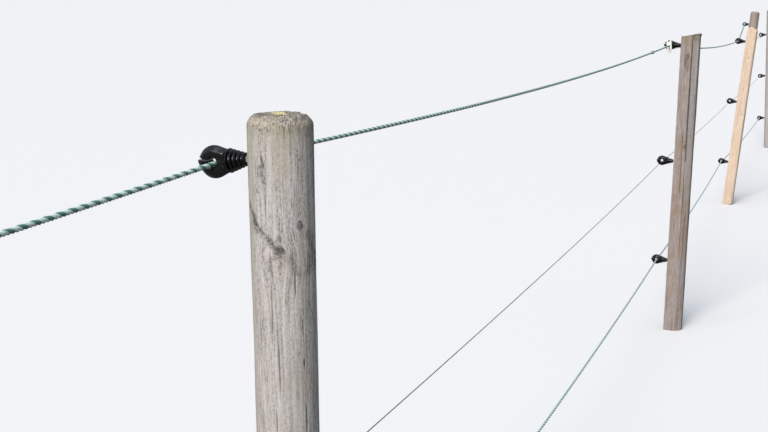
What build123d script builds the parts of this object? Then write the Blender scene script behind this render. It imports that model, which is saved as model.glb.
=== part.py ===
from build123d import *
import math
import os

os.makedirs("parts", exist_ok=True)

# An electric fence of four bays: timber posts, ribbed ring insulators screwed into
# their pasture side, and two taut ropes with a thin wire between them that run from
# end to end.
# X runs along the fence, Y points to the pasture and Z is up, in millimetres.
# The origin is the middle of the front post's foot, at ground level.

# Where the posts stand along the fence, and how far off the line across it.
near_end_x = -3550.0
near_end_y = 13.0
split_x = 3675.0
split_y = 36.5
stake_x = 6907.0
stake_y = 141.5
old_post_side_step = 4.5
far_end_x = 10200.0
far_end_y = 104.0

# Post heights above the ground.
front_height = 1315.5
near_end_height = 1306.0
split_height = 1302.0
stake_height = 1250.0
old_post_height = 1353.0
far_end_height = 1330.0
below_ground = 100.0

# How far the tops lean away from the pasture, in degrees.
front_lean = -0.55
split_lean = 0.6
stake_lean = 4.4
far_end_lean = -2.5

# Post sections. Width is along the fence and depth is across it.
# A split post's front corner is cut away, and its top falls to either side of a ridge.
round_radius = 41.0
end_bevel_in = 7.5
end_bevel_down = 14.5
old_radius = 30.0
split_width = 70.0
split_depth = 76.0
split_cut = (22.0, 26.0)
split_ridge = -30.0
split_falls = (14.0, 3.0)
stake_width = 60.0
stake_depth = 68.0
stake_cut = (12.0, 9.0)
stake_ridge = 8.0
stake_falls = (14.0, 26.0)
back_corner = 10.0
post_gap = 0.3

# Height of each strand where it meets each post.
near_top = 1250.0
near_middle = 724.0
near_bottom = 300.0
front_top = 1252.0
front_middle = 722.0
front_bottom = 292.0
split_top = 1251.0
split_middle = 753.0
split_bottom = 310.0
stake_top = 1146.0
stake_middle = 728.0
stake_bottom = 300.0
old_ring_height = 1262.0
far_top = 1095.0
far_middle = 700.0
far_bottom = 290.0

# Strands, and how deep each of their four bays sags. The middle one is a thin wire.
rope_radius = 3.5
wire_radius = 1.5
rope_sides = 6
top_sags = (35.0, 22.0, 24.0, 26.0)
middle_sags = (16.0, 14.0, 12.0, 12.0)
bottom_sags = (26.0, 28.0, 22.0, 24.0)
rope_gap = 0.7
ring_bend = 150.0
bay_curve_share = 0.9

# Ring insulator: a bevelled ring with an entry slit, on a body whose ribs grow to the ring.
ring_reach = 50.7
eye_radius = 6.5
ring_radius = 21.2
ring_thickness = 18.0
rib_count = 5
ring_bevel_share = 0.36
slit_width = 3.2
slit_turn = 96.0
ring_sides = 12
body_sides = 10
rib_pitch = 5.5
rib_rise = 1.9
rib_radius_post = 8.8
rib_growth = 1.7
core_radius_post = 5.6
core_growth = 1.2
neck_share = 0.47

# The smaller ring insulator left on the old post.
old_ring_reach = 30.0
old_eye_radius = 6.0
old_ring_radius = 14.0
old_ring_thickness = 12.0
old_rib_count = 3

# How far each fitting stands off its post, and how much the front post's ones droop.
front_stand_offs = (2.8, 3.3, 0.5)
split_stand_offs = (0.0, 2.3, 0.0)
front_droop = 6.5

# Screw that carries an insulator, with its collar against the post.
screw_radius = 3.0
screw_sides = 6
screw_in_post = 36.0
screw_in_body = 12.0
collar_radius = 5.0
collar_thickness = 2.6
seat_gap = 0.3

# Clamps that join two runs of rope, and the sleeve on the top strand.
clamp_length = 18.0
clamp_wall = 2.6
clamp_web = 1.6
clamp_bevel = 1.2
clamp_gap = 0.3
bore_sides = 8
clamp_from_ring = 78.0
tail_length = 16.0
loop_radius = 9.6
wire_loop_radius = 8.0
loop_room = 3.0
tail_run_in = 6.0
return_start = 14.0
tail_bend = 60.0
return_bend = 30.0
sleeve_length = 22.0
sleeve_wall = 2.8
sleeve_bevel = 1.0
sleeve_from_split = 424.0
tie_clamp_step = 36.0
tie_loop_half = 15.0
tie_loop_radius = 9.0
tie_tail = 3.0
tie_run_out = 9.0

# Anchor plate on the strand in front of the split post's top ring.
plate_height = 62.0
plate_width = 20.0
plate_thickness = 2.0
plate_tilt = 6.0
plate_hook_radius = 4.0
plate_hook_step = 20.0
plate_corner = 5.0

bore_radius = screw_radius + seat_gap
bore_in_post = screw_in_post + 4.0
body_start = collar_thickness + 2 * seat_gap
line_fitting = {
    "reach": ring_reach,
    "eye": eye_radius,
    "ring": ring_radius,
    "thickness": ring_thickness,
    "ribs": rib_count,
}
old_fitting = {
    "reach": old_ring_reach,
    "eye": old_eye_radius,
    "ring": old_ring_radius,
    "thickness": old_ring_thickness,
    "ribs": old_rib_count,
}


def around(radius, height, sides):
    """Corners of a regular ring of points at a height on the Z axis."""
    step = 2 * math.pi / sides
    turns = [(k + 0.5) * step for k in range(sides)]
    return [Vector(radius * math.cos(t), radius * math.sin(t), height) for t in turns]


def flat_sided(sections, sides):
    """A solid up the Z axis through (height, radius) sections, with flat sides."""
    rings = [around(radius, height, sides) for height, radius in sections]
    faces = [make_face(Polyline(*rings[0], close=True))]
    faces.append(make_face(Polyline(*rings[-1], close=True)))
    for lower, upper in zip(rings, rings[1:]):
        for k in range(sides):
            m = (k + 1) % sides
            faces.append(make_face(Polyline(lower[k], lower[m], upper[m], upper[k], close=True)))
    return Solid(Shell(faces))


def outer_radius(flat_radius, sides):
    """The corner radius of a flat-sided ring whose flats are at the given radius."""
    return flat_radius / math.cos(math.pi / sides)


def flat_bore(flat_radius, low, high, sides):
    """A flat-sided hole up the Z axis from one height to another."""
    corner = outer_radius(flat_radius, sides)
    return flat_sided([(low, corner), (high, corner)], sides)


# What is modelled up the Z axis is laid along +Y, out of the post, by this turn.
outwards = Rot(-90, 0, 0)


def insulator(fitting):
    """One ring insulator, its axis along +Y, with the post's surface at y = 0."""
    sections = [(body_start, core_radius_post)]
    for i in range(fitting["ribs"]):
        low = body_start + i * rib_pitch
        core = core_radius_post + (i + 1) * core_growth
        sections += [(low + rib_rise, rib_radius_post + i * rib_growth), (low + rib_pitch, core)]
    neck_end = fitting["reach"] - (fitting["ring"] + fitting["eye"]) / 2
    sections[-1] = (neck_end, neck_share * fitting["thickness"])
    body = outwards * flat_sided(sections, body_sides)

    half = fitting["thickness"] / 2
    radius = fitting["ring"]
    bevel = ring_bevel_share * fitting["thickness"]
    hole = flat_bore(fitting["eye"], -half, half, ring_sides)
    blank = flat_sided(
        [
            (-half, radius - bevel),
            (-half + bevel, radius),
            (half - bevel, radius),
            (half, radius - bevel),
        ],
        ring_sides,
    )
    ring = Rot(0, 90, 0) * (blank - hole)
    slit = Box(4 * fitting["thickness"], slit_width, radius)
    ring -= Rot(slit_turn, 0, 0) * Pos(0, 0, -(radius + fitting["eye"]) / 2) * slit
    bore = outwards * flat_bore(bore_radius, body_start - 1, body_start + screw_in_body, screw_sides)
    return (body + Pos(0, fitting["reach"], 0) * ring) - bore


def screw():
    """The insulator's screw, with a collar that lies against the post."""
    head = body_start + screw_in_body - seat_gap
    shank = outer_radius(screw_radius, screw_sides)
    collar = outer_radius(collar_radius, screw_sides)
    sections = [
        (-screw_in_post, shank / 3),
        (-screw_in_post + 2 * screw_radius, shank),
        (seat_gap, shank),
        (seat_gap, collar),
        (seat_gap + collar_thickness, collar),
        (seat_gap + collar_thickness, shank),
        (head, shank),
    ]
    return outwards * flat_sided(sections, screw_sides)


def standing(x, y, lean):
    """The frame of a post whose foot is at x, y and whose top leans towards -Y."""
    return Plane.XY.location * Pos(x, y, 0) * Rot(lean, 0, 0)


def height_along(height, lean):
    """Distance up a leaning post at which its axis is at the given height."""
    return height / math.cos(math.radians(lean))


def ring_frame(post, index):
    """The place of a fitting's seat, from which it reaches out to the pasture side."""
    height = height_along(post["rings"][index], post["lean"])
    droop = post["droop"]
    lift = post["fitting"]["reach"] * math.sin(math.radians(droop))
    out = post["face"] + post["stand_offs"][index]
    return post["frame"] * Pos(0, out, height + lift) * Rot(-droop, 0, 0)


def ring_middle(post, index):
    """The middle of a ring's eye, in the fence's own frame."""
    return (ring_frame(post, index) * Pos(0, post["fitting"]["reach"], 0)).position


def post_solid(post, blank):
    """Cuts the pilot holes and the foot of a post."""
    for index in range(len(post["rings"])):
        hole = outwards * flat_bore(bore_radius, -bore_in_post, post["face"], screw_sides)
        blank -= ring_frame(post, index) * hole
    size = 8 * below_ground
    foot = Pos(post["x"], post["y"], -size / 2) * Box(size, size, size)
    return blank - foot


def round_blank(post, radius, height):
    """A turned round post with a worn bevel round its end grain."""
    length = height_along(height, post["lean"]) + below_ground
    log = Pos(0, 0, length / 2 - below_ground) * Cylinder(radius, length)
    rim = log.edges().sort_by(Axis.Z)[-1]
    side = log.faces().filter_by(GeomType.CYLINDER)[0]
    log = chamfer(rim, end_bevel_down, end_bevel_in, reference=side)
    return post["frame"] * log


def split_blank(post, width, depth, cut, height, ridge, falls):
    """A post split from a log, with a cut corner and a top that falls to both sides."""
    half_x = width / 2
    half_y = depth / 2
    outline = Polyline(
        (-half_x, half_y),
        (half_x, half_y),
        (half_x, -half_y + back_corner),
        (half_x - back_corner, -half_y),
        (-half_x + cut[0], -half_y),
        (-half_x, -half_y + cut[1]),
        close=True,
    )
    length = height_along(height, post["lean"])
    board = Pos(0, 0, -below_ground) * extrude(make_face(outline), length + below_ground)
    profile = Polyline(
        (half_y, -below_ground),
        (half_y, length - falls[0]),
        (ridge, length),
        (-half_y, length - falls[1]),
        (-half_y, -below_ground),
        close=True,
    )
    side = Plane(origin=(-half_x, 0, 0), x_dir=(0, 1, 0), z_dir=(1, 0, 0))
    board &= extrude(side * make_face(profile), width)
    return post["frame"] * board


def make_post(name, x, y, lean, face, height, rings, stand_offs):
    return {
        "name": name,
        "x": x,
        "y": y,
        "lean": lean,
        "face": face,
        "frame": standing(x, y, lean),
        "height": height,
        "rings": rings,
        "stand_offs": stand_offs,
        "droop": 0.0,
        "fitting": line_fitting,
    }


old_post_x = stake_x + stake_width / 2 + old_radius + post_gap
old_post_y = stake_y + old_post_side_step
flush = (0.0, 0.0, 0.0)

near_end = make_post(
    "near_end", near_end_x, near_end_y, 0, round_radius, near_end_height,
    (near_top, near_middle, near_bottom), flush,
)
front = make_post(
    "front", 0, 0, front_lean, round_radius, front_height,
    (front_top, front_middle, front_bottom), front_stand_offs,
)
front["droop"] = front_droop
split = make_post(
    "split", split_x, split_y, split_lean, split_depth / 2, split_height,
    (split_top, split_middle, split_bottom), split_stand_offs,
)
stake = make_post(
    "stake", stake_x, stake_y, stake_lean, stake_depth / 2, stake_height,
    (stake_top, stake_middle, stake_bottom), flush,
)
old = make_post(
    "old", old_post_x, old_post_y, stake_lean, old_radius, old_post_height,
    (old_ring_height,), flush,
)
old["fitting"] = old_fitting
far_end = make_post(
    "far_end", far_end_x, far_end_y, far_end_lean, round_radius, far_end_height,
    (far_top, far_middle, far_bottom), flush,
)

blanks = {
    "near_end_post": (near_end, round_blank(near_end, round_radius, near_end_height)),
    "front_post": (front, round_blank(front, round_radius, front_height)),
    "split_post": (
        split,
        split_blank(
            split, split_width, split_depth, split_cut, split_height, split_ridge, split_falls
        ),
    ),
    "fresh_stake": (
        stake,
        split_blank(
            stake, stake_width, stake_depth, stake_cut, stake_height, stake_ridge, stake_falls
        ),
    ),
    "old_post": (old, round_blank(old, old_radius, old_post_height)),
    "far_end_post": (far_end, round_blank(far_end, round_radius, far_end_height)),
}


def make_strand(radius, sags, bend):
    """A strand's sizes: its radius, the sags of its bays and the bend of its end loops."""
    bore = radius + clamp_gap
    return {
        "radius": radius,
        "sags": sags,
        "bend": bend,
        "bore": bore,
        "step": 2 * bore + clamp_web,
    }


def rope_rest(fitting, strand):
    """How far below the middle of an eye a strand lies."""
    return fitting["eye"] - strand["radius"] - rope_gap


def strand_rest(post, index, strand):
    """Where a strand's middle line passes through a ring, at the bottom of its eye."""
    middle = ring_middle(post, index)
    return Vector(middle.X, middle.Y, middle.Z - rope_rest(post["fitting"], strand))


def sag_corner(first, second, sag):
    """The corner whose rounding gives a bay of a strand its shallow curve."""
    middle = (first + second) / 2
    return Vector(middle.X, middle.Y, middle.Z - 2 * sag)


def turn_at(before, corner, after):
    """How far a route turns at a corner, in radians."""
    return math.radians((corner - before).get_angle(after - corner))


def end_loop(rest, towards, strand):
    """Corners of the loop that ties a strand back on itself at an end ring."""
    out = (towards - rest).normalized()
    down = Vector(0, 0, -1)
    under = ring_radius + strand["radius"] + rope_gap - rope_rest(line_fitting, strand)
    beyond = ring_thickness / 2 + strand["radius"] + rope_gap + loop_room
    inner_end = clamp_from_ring - clamp_length / 2 - tail_run_in
    outer_end = clamp_from_ring + clamp_length / 2 + tail_length
    return [
        rest + out * outer_end + down * strand["step"],
        rest + out * inner_end + down * strand["step"],
        rest + out * return_start + down * under,
        rest - out * beyond + down * under,
        rest - out * beyond,
    ]


def bay_corners(rests, sags):
    """The one corner of each bay of a strand."""
    return [sag_corner(rests[i], rests[i + 1], sags[i]) for i in range(len(sags))]


def strand_route(rests, strand):
    """Corners and radii of a strand from its near end loop to its far one."""
    bays = bay_corners(rests, strand["sags"])
    loop_radii = [tail_bend, return_bend, strand["bend"], strand["bend"]]
    corners = end_loop(rests[0], bays[0], strand)
    radii = loop_radii[:]
    for i, bay in enumerate(bays):
        half = (bay - rests[i]).length * bay_curve_share
        corners.append(bay)
        radii.append(half / math.tan(turn_at(rests[i], bay, rests[i + 1]) / 2))
        if i + 1 < len(bays):
            corners.append(rests[i + 1])
            radii.append(ring_bend)
    corners += end_loop(rests[-1], bays[-1], strand)[::-1]
    radii += loop_radii[::-1]
    return corners, radii


def rope_along(corners, radii, radius, name):
    """A plain round rope along straight runs and tangent arcs."""
    path = FilletPolyline(*corners, radius=radii)
    start = Plane(origin=path @ 0, z_dir=path % 0)
    section = RegularPolygon(radius, rope_sides)
    solid = sweep(start * section, path=path)
    expected = section.area * path.length
    print(name, "length", round(path.length), "volume share", round(solid.volume / expected, 4))
    return solid, path


def across(origin, run):
    """The plane across a rope at a point of it, with its Y axis pointing down."""
    return Plane(origin=origin, x_dir=run.cross(Vector(0, 0, 1)), z_dir=run)


def plane_at_x(path, x):
    """The plane across a strand where it passes a given x, away from its end loops."""
    low = 0.1
    high = 0.9
    for _ in range(60):
        middle = (low + high) / 2
        if (path @ middle).X < x:
            low = middle
        else:
            high = middle
    return across(path @ low, path % low)


def clamp(plane, strand, below):
    """A clamp with two bores: one on the strand, one a step below it or above it."""
    width = 2 * strand["bore"] + 2 * clamp_wall
    height = width + strand["step"]
    block = Box(width, height, clamp_length)
    block = chamfer(block.edges().filter_by(Axis.Z), clamp_bevel)
    shift = strand["step"] / 2
    bore = flat_bore(strand["bore"], -clamp_length, clamp_length, bore_sides)
    block -= Pos(0, shift, 0) * bore
    block -= Pos(0, -shift, 0) * bore
    return plane.location * Pos(0, shift if below else -shift, 0) * block


solids = {}
for name, (post, blank) in blanks.items():
    solids[name] = post_solid(post, blank)

body = insulator(line_fitting)
bolt = screw()
levels = ("top", "middle", "bottom")
line_posts = (near_end, front, split, stake, far_end)
for post in line_posts:
    for index, level in enumerate(levels):
        solids[f"{post['name']}_{level}_insulator"] = ring_frame(post, index) * body
    screws = [ring_frame(post, index) * bolt for index in range(len(levels))]
    solids[f"{post['name']}_screws"] = Compound(children=screws)
solids["old_top_insulator"] = ring_frame(old, 0) * insulator(old_fitting)
solids["old_screw"] = ring_frame(old, 0) * bolt

strands = {
    "top": make_strand(rope_radius, top_sags, loop_radius),
    "middle": make_strand(wire_radius, middle_sags, wire_loop_radius),
    "bottom": make_strand(rope_radius, bottom_sags, loop_radius),
}
paths = {}
rests = {}
for index, level in enumerate(levels):
    strand = strands[level]
    rests[level] = [strand_rest(post, index, strand) for post in line_posts]
    corners, radii = strand_route(rests[level], strand)
    kind = "wire" if level == "middle" else "rope"
    rope, paths[level] = rope_along(corners, radii, strand["radius"], level)
    solids[f"{level}_{kind}"] = rope

for name, end in (("near_end_clamps", 0), ("far_end_clamps", -1)):
    clamps = []
    for level in levels:
        strand = strands[level]
        rest = rests[level][end]
        out = (bay_corners(rests[level], strand["sags"])[end] - rest).normalized()
        clamps.append(clamp(across(rest + out * clamp_from_ring, out), strand, True))
    solids[name] = Compound(children=clamps)

# The sleeve that joins two lengths of the top strand, just before the split post.
top_strand = strands["top"]
place = plane_at_x(paths["top"], rests["top"][2].X - sleeve_from_split)
half = sleeve_length / 2
rim = top_strand["bore"] + sleeve_wall
sleeve = flat_sided(
    [(-half, rim - sleeve_bevel), (-half + sleeve_bevel, rim), (half - sleeve_bevel, rim),
     (half, rim - sleeve_bevel)],
    body_sides,
)
sleeve -= flat_bore(top_strand["bore"], -sleeve_length, sleeve_length, bore_sides)
solids["rope_sleeve"] = place.location * sleeve

# The anchor plate hangs on the strand, flat against the split post's top ring.
plate = Box(plate_thickness, plate_width, plate_height)
plate = chamfer(plate.edges().filter_by(Axis.X), plate_corner)
through = Rot(0, 90, 0)
plate -= through * flat_bore(
    top_strand["bore"], -plate_thickness, plate_thickness, bore_sides
)
hook = through * flat_bore(plate_hook_radius, -plate_thickness, plate_thickness, bore_sides)
for side in (-1, 1):
    plate -= Pos(0, 0, side * plate_hook_step) * hook
split_rest = rests["top"][2]
plate_x = split_rest.X - ring_thickness / 2 - seat_gap - plate_thickness / 2
tilt = Rot(-plate_tilt, 0, 0)
solids["anchor_plate"] = Pos(plate_x, split_rest.Y, split_rest.Z) * tilt * plate

# The short tie from the old post's ring down to the top strand on both sides of it.
old_rest = strand_rest(old, 0, top_strand)
near_clamp = plane_at_x(paths["top"], old_rest.X - tie_clamp_step)
far_clamp = plane_at_x(paths["top"], old_rest.X + tie_clamp_step)
tie_clamps = [clamp(near_clamp, top_strand, False), clamp(far_clamp, top_strand, False)]
solids["tie_clamps"] = Compound(children=tie_clamps)


def tie_leg(place, inwards):
    """The two lowest corners of a leg of the tie: in its clamp, and just past it."""
    lift = Vector(0, 0, top_strand["step"])
    run = place.z_dir * inwards
    outer = place.origin - run * (clamp_length / 2 + tie_tail) + lift
    inner = place.origin + run * (clamp_length / 2 + tie_run_out) + lift
    return outer, inner


near_outer, near_inner = tie_leg(near_clamp, 1)
far_outer, far_inner = tie_leg(far_clamp, -1)
tie_corners = [
    near_outer,
    near_inner,
    Vector(old_rest.X - tie_loop_half, old_rest.Y, old_rest.Z),
    Vector(old_rest.X + tie_loop_half, old_rest.Y, old_rest.Z),
    far_inner,
    far_outer,
]
solids["tie_rope"], tie_path = rope_along(tie_corners, [tie_loop_radius] * 4, rope_radius, "tie")

for name, solid in solids.items():
    export_step(solid, f"parts/{name}.step")
print(len(solids), "nodes")
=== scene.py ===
# %% [markdown]
# # An electric fence on timber posts
#
# Six weathered posts carry two strands of twisted rope and a thin dark wire through
# black ring insulators. The fence's sizes come from a measured model, which is loaded first
# and stays fixed. Each lesson below then makes one piece or one finish that fits it.
# X runs along the fence, Y points to the pasture and Z is up, in metres.

# %% The measured model
import math

import bmesh
import bpy
import numpy as np
from mathutils import Matrix, Vector


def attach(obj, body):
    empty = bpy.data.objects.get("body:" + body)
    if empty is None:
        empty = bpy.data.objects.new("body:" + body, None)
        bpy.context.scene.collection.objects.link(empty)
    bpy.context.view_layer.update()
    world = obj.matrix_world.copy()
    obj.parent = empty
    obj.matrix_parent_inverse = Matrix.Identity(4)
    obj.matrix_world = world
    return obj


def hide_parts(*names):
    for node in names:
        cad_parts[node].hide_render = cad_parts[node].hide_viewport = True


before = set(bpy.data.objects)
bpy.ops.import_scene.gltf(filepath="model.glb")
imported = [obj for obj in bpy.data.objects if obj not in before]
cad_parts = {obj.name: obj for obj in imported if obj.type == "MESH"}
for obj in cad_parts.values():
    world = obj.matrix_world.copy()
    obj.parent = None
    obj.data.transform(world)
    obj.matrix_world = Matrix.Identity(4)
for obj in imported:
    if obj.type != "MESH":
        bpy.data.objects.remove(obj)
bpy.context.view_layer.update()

mm = 0.001
print("nodes in the model:", len(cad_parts))

# %% [markdown]
# ## Small helpers
#
# Blender's operators act on whatever is selected, so a lesson that builds many
# pieces needs three habits: start with nothing selected, pick one piece alone
# before working on it, and choose its corners, edges or faces by where they are.

# %% Picking pieces and parts of pieces
def pick(piece):
    """Selects one piece alone and makes it the active one."""
    bpy.ops.object.select_all(action="DESELECT")
    piece.select_set(True)
    bpy.context.view_layer.objects.active = piece


def choose(piece, kind, test):
    """In edit mode, selects the corners, edges or faces for which the test is true."""
    bpy.ops.mesh.select_mode(type=kind)
    bpy.ops.mesh.select_all(action="DESELECT")
    mesh = bmesh.from_edit_mesh(piece.data)
    parts = {"VERT": mesh.verts, "EDGE": mesh.edges, "FACE": mesh.faces}[kind]
    for part in parts:
        if test(part):
            part.select_set(True)
    mesh.select_flush_mode()
    bmesh.update_edit_mesh(piece.data)


def runs_up(edge):
    """True for an edge that climbs rather than going round."""
    low, high = edge.verts
    return abs(high.co.z - low.co.z) > 0.5 * edge.calc_length()


def middle_z(edge):
    """The height of an edge's middle."""
    return (edge.verts[0].co.z + edge.verts[1].co.z) / 2


def corners_of(piece):
    """The corners of a mesh as rows of x, y and z."""
    rows = np.empty(len(piece.data.vertices) * 3)
    piece.data.vertices.foreach_get("co", rows)
    return rows.reshape(-1, 3)


def move_corners(piece, rows):
    """Puts the corners of a mesh where the rows say."""
    piece.data.vertices.foreach_set("co", rows.ravel())
    piece.data.update()


def normals_of(piece):
    """The outward direction at each corner of a mesh."""
    rows = np.empty(len(piece.data.vertices) * 3)
    piece.data.vertex_normals.foreach_get("vector", rows)
    return rows.reshape(-1, 3)


def note(piece, name, values):
    """Stores a number or a vector for each corner, for a material to read."""
    kind = "FLOAT_VECTOR" if values.ndim == 2 else "FLOAT"
    field = "vector" if values.ndim == 2 else "value"
    store = piece.data.attributes.new(name, kind, "POINT")
    store.data.foreach_set(field, values.astype(np.float32).ravel())


def triangles(piece):
    """How many triangles a mesh has."""
    return sum(len(face.vertices) - 2 for face in piece.data.polygons)


# %% [markdown]
# Weathered wood is uneven at every size. A random number for each corner would
# give sandpaper, so the helper below blends the random numbers at the corners of a
# grid. Stretching the grid along the post turns soft lumps into fibres and ridges.

# %% Smooth random values
def noise(points, seed):
    """Smooth random values from -1 to 1, one for each row of points."""
    cell = np.floor(points).astype(np.int64)
    part = points - cell
    part = part * part * (3 - 2 * part)
    total = np.zeros(len(points))
    for corner in np.ndindex(2, 2, 2):
        at = cell + np.array(corner)
        mixed = at[:, 0] * 374761393 + at[:, 1] * 668265263 + at[:, 2] * 2246822519 + seed * 3266489917
        mixed = (mixed ^ (mixed >> 13)) & 0xFFFFFFFF
        mixed = (mixed * 1274126177) & 0xFFFFFFFF
        value = ((mixed ^ (mixed >> 16)) & 0xFFFF) / 32767.5 - 1
        weight = np.prod(np.where(np.array(corner) == 1, part, 1 - part), axis=1)
        total += weight * value
    return total


def step_up(values, low, high):
    """0 below low, 1 above high, and a smooth rise between them."""
    share = np.clip((values - low) / (high - low), 0, 1)
    return share * share * (3 - 2 * share)


# %% [markdown]
# ## Camera
#
# The photograph was taken standing beside the near bay, a little above the front
# post and looking down along the fence. The camera's place, turn and lens were
# worked out from where the post tops and the ring insulators lie in the picture.

# %% The camera
photo_width = 768
focal_pixels = 1100
sensor_width = 36.0
camera_place = Vector((-1.179, -0.627, 1.455))
camera_turn = math.radians(23.06)
camera_dip = math.radians(11.28)


def pointing(turn, height):
    """The direction of a turn about the upright axis and a height above the level."""
    level = math.cos(height)
    return Vector((math.cos(turn) * level, math.sin(turn) * level, math.sin(height)))


lens = bpy.data.cameras.new("camera")
lens.sensor_width = sensor_width
lens.lens = focal_pixels * sensor_width / photo_width
camera = bpy.data.objects.new("camera", lens)
bpy.context.scene.collection.objects.link(camera)
camera.location = camera_place
camera.rotation_mode = "QUATERNION"
camera.rotation_quaternion = pointing(camera_turn, -camera_dip).to_track_quat("-Z", "Y")
bpy.context.scene.camera = camera
print("lens", round(lens.lens, 2), "mm")

# %% [markdown]
# ## Floor and light
#
# A pale floor catches the fence's shadow and lets its outline read clearly. A meadow
# throws back far less light than such a floor would, so the floor is kept from
# lighting the fence, and only the sky fills the shade. The main light is a broad
# warm lamp behind the camera and a little to its left, where the sun stood. A weaker
# cool lamp high up stands for the brightest part of the sky, which glossy plastic
# shows as a pale sheen. The sky is dull near the ground and brighter above.

# %% The floor
floor_size = 1300
floor_grey = (0.78, 0.765, 0.74, 1)
floor_drop = 0.5 * mm

bpy.ops.object.select_all(action="DESELECT")
bpy.ops.mesh.primitive_plane_add(size=floor_size, location=(0, 0, -floor_drop))
floor = bpy.context.object
floor.name = "floor"
floor.visible_diffuse = False
floor.visible_glossy = False
floor_finish = bpy.data.materials.new("pale_floor")
floor_finish.use_nodes = True
floor_shader = floor_finish.node_tree.nodes["Principled BSDF"]
floor_shader.inputs["Base Color"].default_value = floor_grey
floor_shader.inputs["Roughness"].default_value = 0.9
floor_shader.inputs["Specular IOR Level"].default_value = 0.1
floor.data.materials.append(floor_finish)

# %% The lamps
lamps = {
    "warm_lamp": {"turn": 176, "height": 32, "strength": 3.15, "spread": 24, "colour": (1.0, 0.95, 0.88)},
    "cool_lamp": {"turn": 165, "height": 58, "strength": 1.0, "spread": 34, "colour": (0.82, 0.84, 1.0)},
}


for name, sizes in lamps.items():
    shine = bpy.data.lights.new(name, "SUN")
    shine.energy = sizes["strength"]
    shine.angle = math.radians(sizes["spread"])
    shine.color = sizes["colour"]
    lamp = bpy.data.objects.new(name, shine)
    bpy.context.scene.collection.objects.link(lamp)
    towards = pointing(math.radians(sizes["turn"]), math.radians(sizes["height"]))
    lamp.rotation_mode = "QUATERNION"
    lamp.rotation_quaternion = towards.to_track_quat("Z", "Y")
print("lamps:", len(lamps))

# %% The sky
sky_above = (0.40, 0.46, 0.54)
sky_below = (0.185, 0.195, 0.185)
sky_rise = 0.30

sky = bpy.data.worlds.new("sky")
bpy.context.scene.world = sky
sky.use_nodes = True
sky_nodes = sky.node_tree.nodes
sky_links = sky.node_tree.links
sky_nodes.clear()
looked = sky_nodes.new("ShaderNodeTexCoord")
parts = sky_nodes.new("ShaderNodeSeparateXYZ")
sky_links.new(looked.outputs["Generated"], parts.inputs[0])
rise = sky_nodes.new("ShaderNodeValToRGB")
rise.color_ramp.elements[0].position = 0.0
rise.color_ramp.elements[0].color = (*sky_below, 1)
rise.color_ramp.elements[1].position = sky_rise
rise.color_ramp.elements[1].color = (*sky_above, 1)
sky_links.new(parts.outputs["Z"], rise.inputs["Fac"])
glow = sky_nodes.new("ShaderNodeBackground")
sky_links.new(rise.outputs["Color"], glow.inputs["Color"])
white = sky_nodes.new("ShaderNodeBackground")
white.inputs["Color"].default_value = (1, 1, 1, 1)
white.inputs["Strength"].default_value = 1.0
path = sky_nodes.new("ShaderNodeLightPath")
seen = sky_nodes.new("ShaderNodeMath")
seen.operation = "MAXIMUM"
sky_links.new(path.outputs["Is Camera Ray"], seen.inputs[0])
sky_links.new(path.outputs["Is Transmission Ray"], seen.inputs[1])
blend = sky_nodes.new("ShaderNodeMixShader")
sky_links.new(seen.outputs[0], blend.inputs[0])
sky_links.new(glow.outputs[0], blend.inputs[1])
sky_links.new(white.outputs[0], blend.inputs[2])
sky_out = sky_nodes.new("ShaderNodeOutputWorld")
sky_links.new(blend.outputs[0], sky_out.inputs["Surface"])
bpy.context.scene.view_settings.view_transform = "Standard"

# %% [markdown]
# ## Material helpers
#
# Every finish below is a small network of nodes. Most of them need the same few
# building blocks: a noise that can be stretched, a ramp of colours, a mix, and a
# bump. Writing these once keeps each finish short enough to read.

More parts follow.
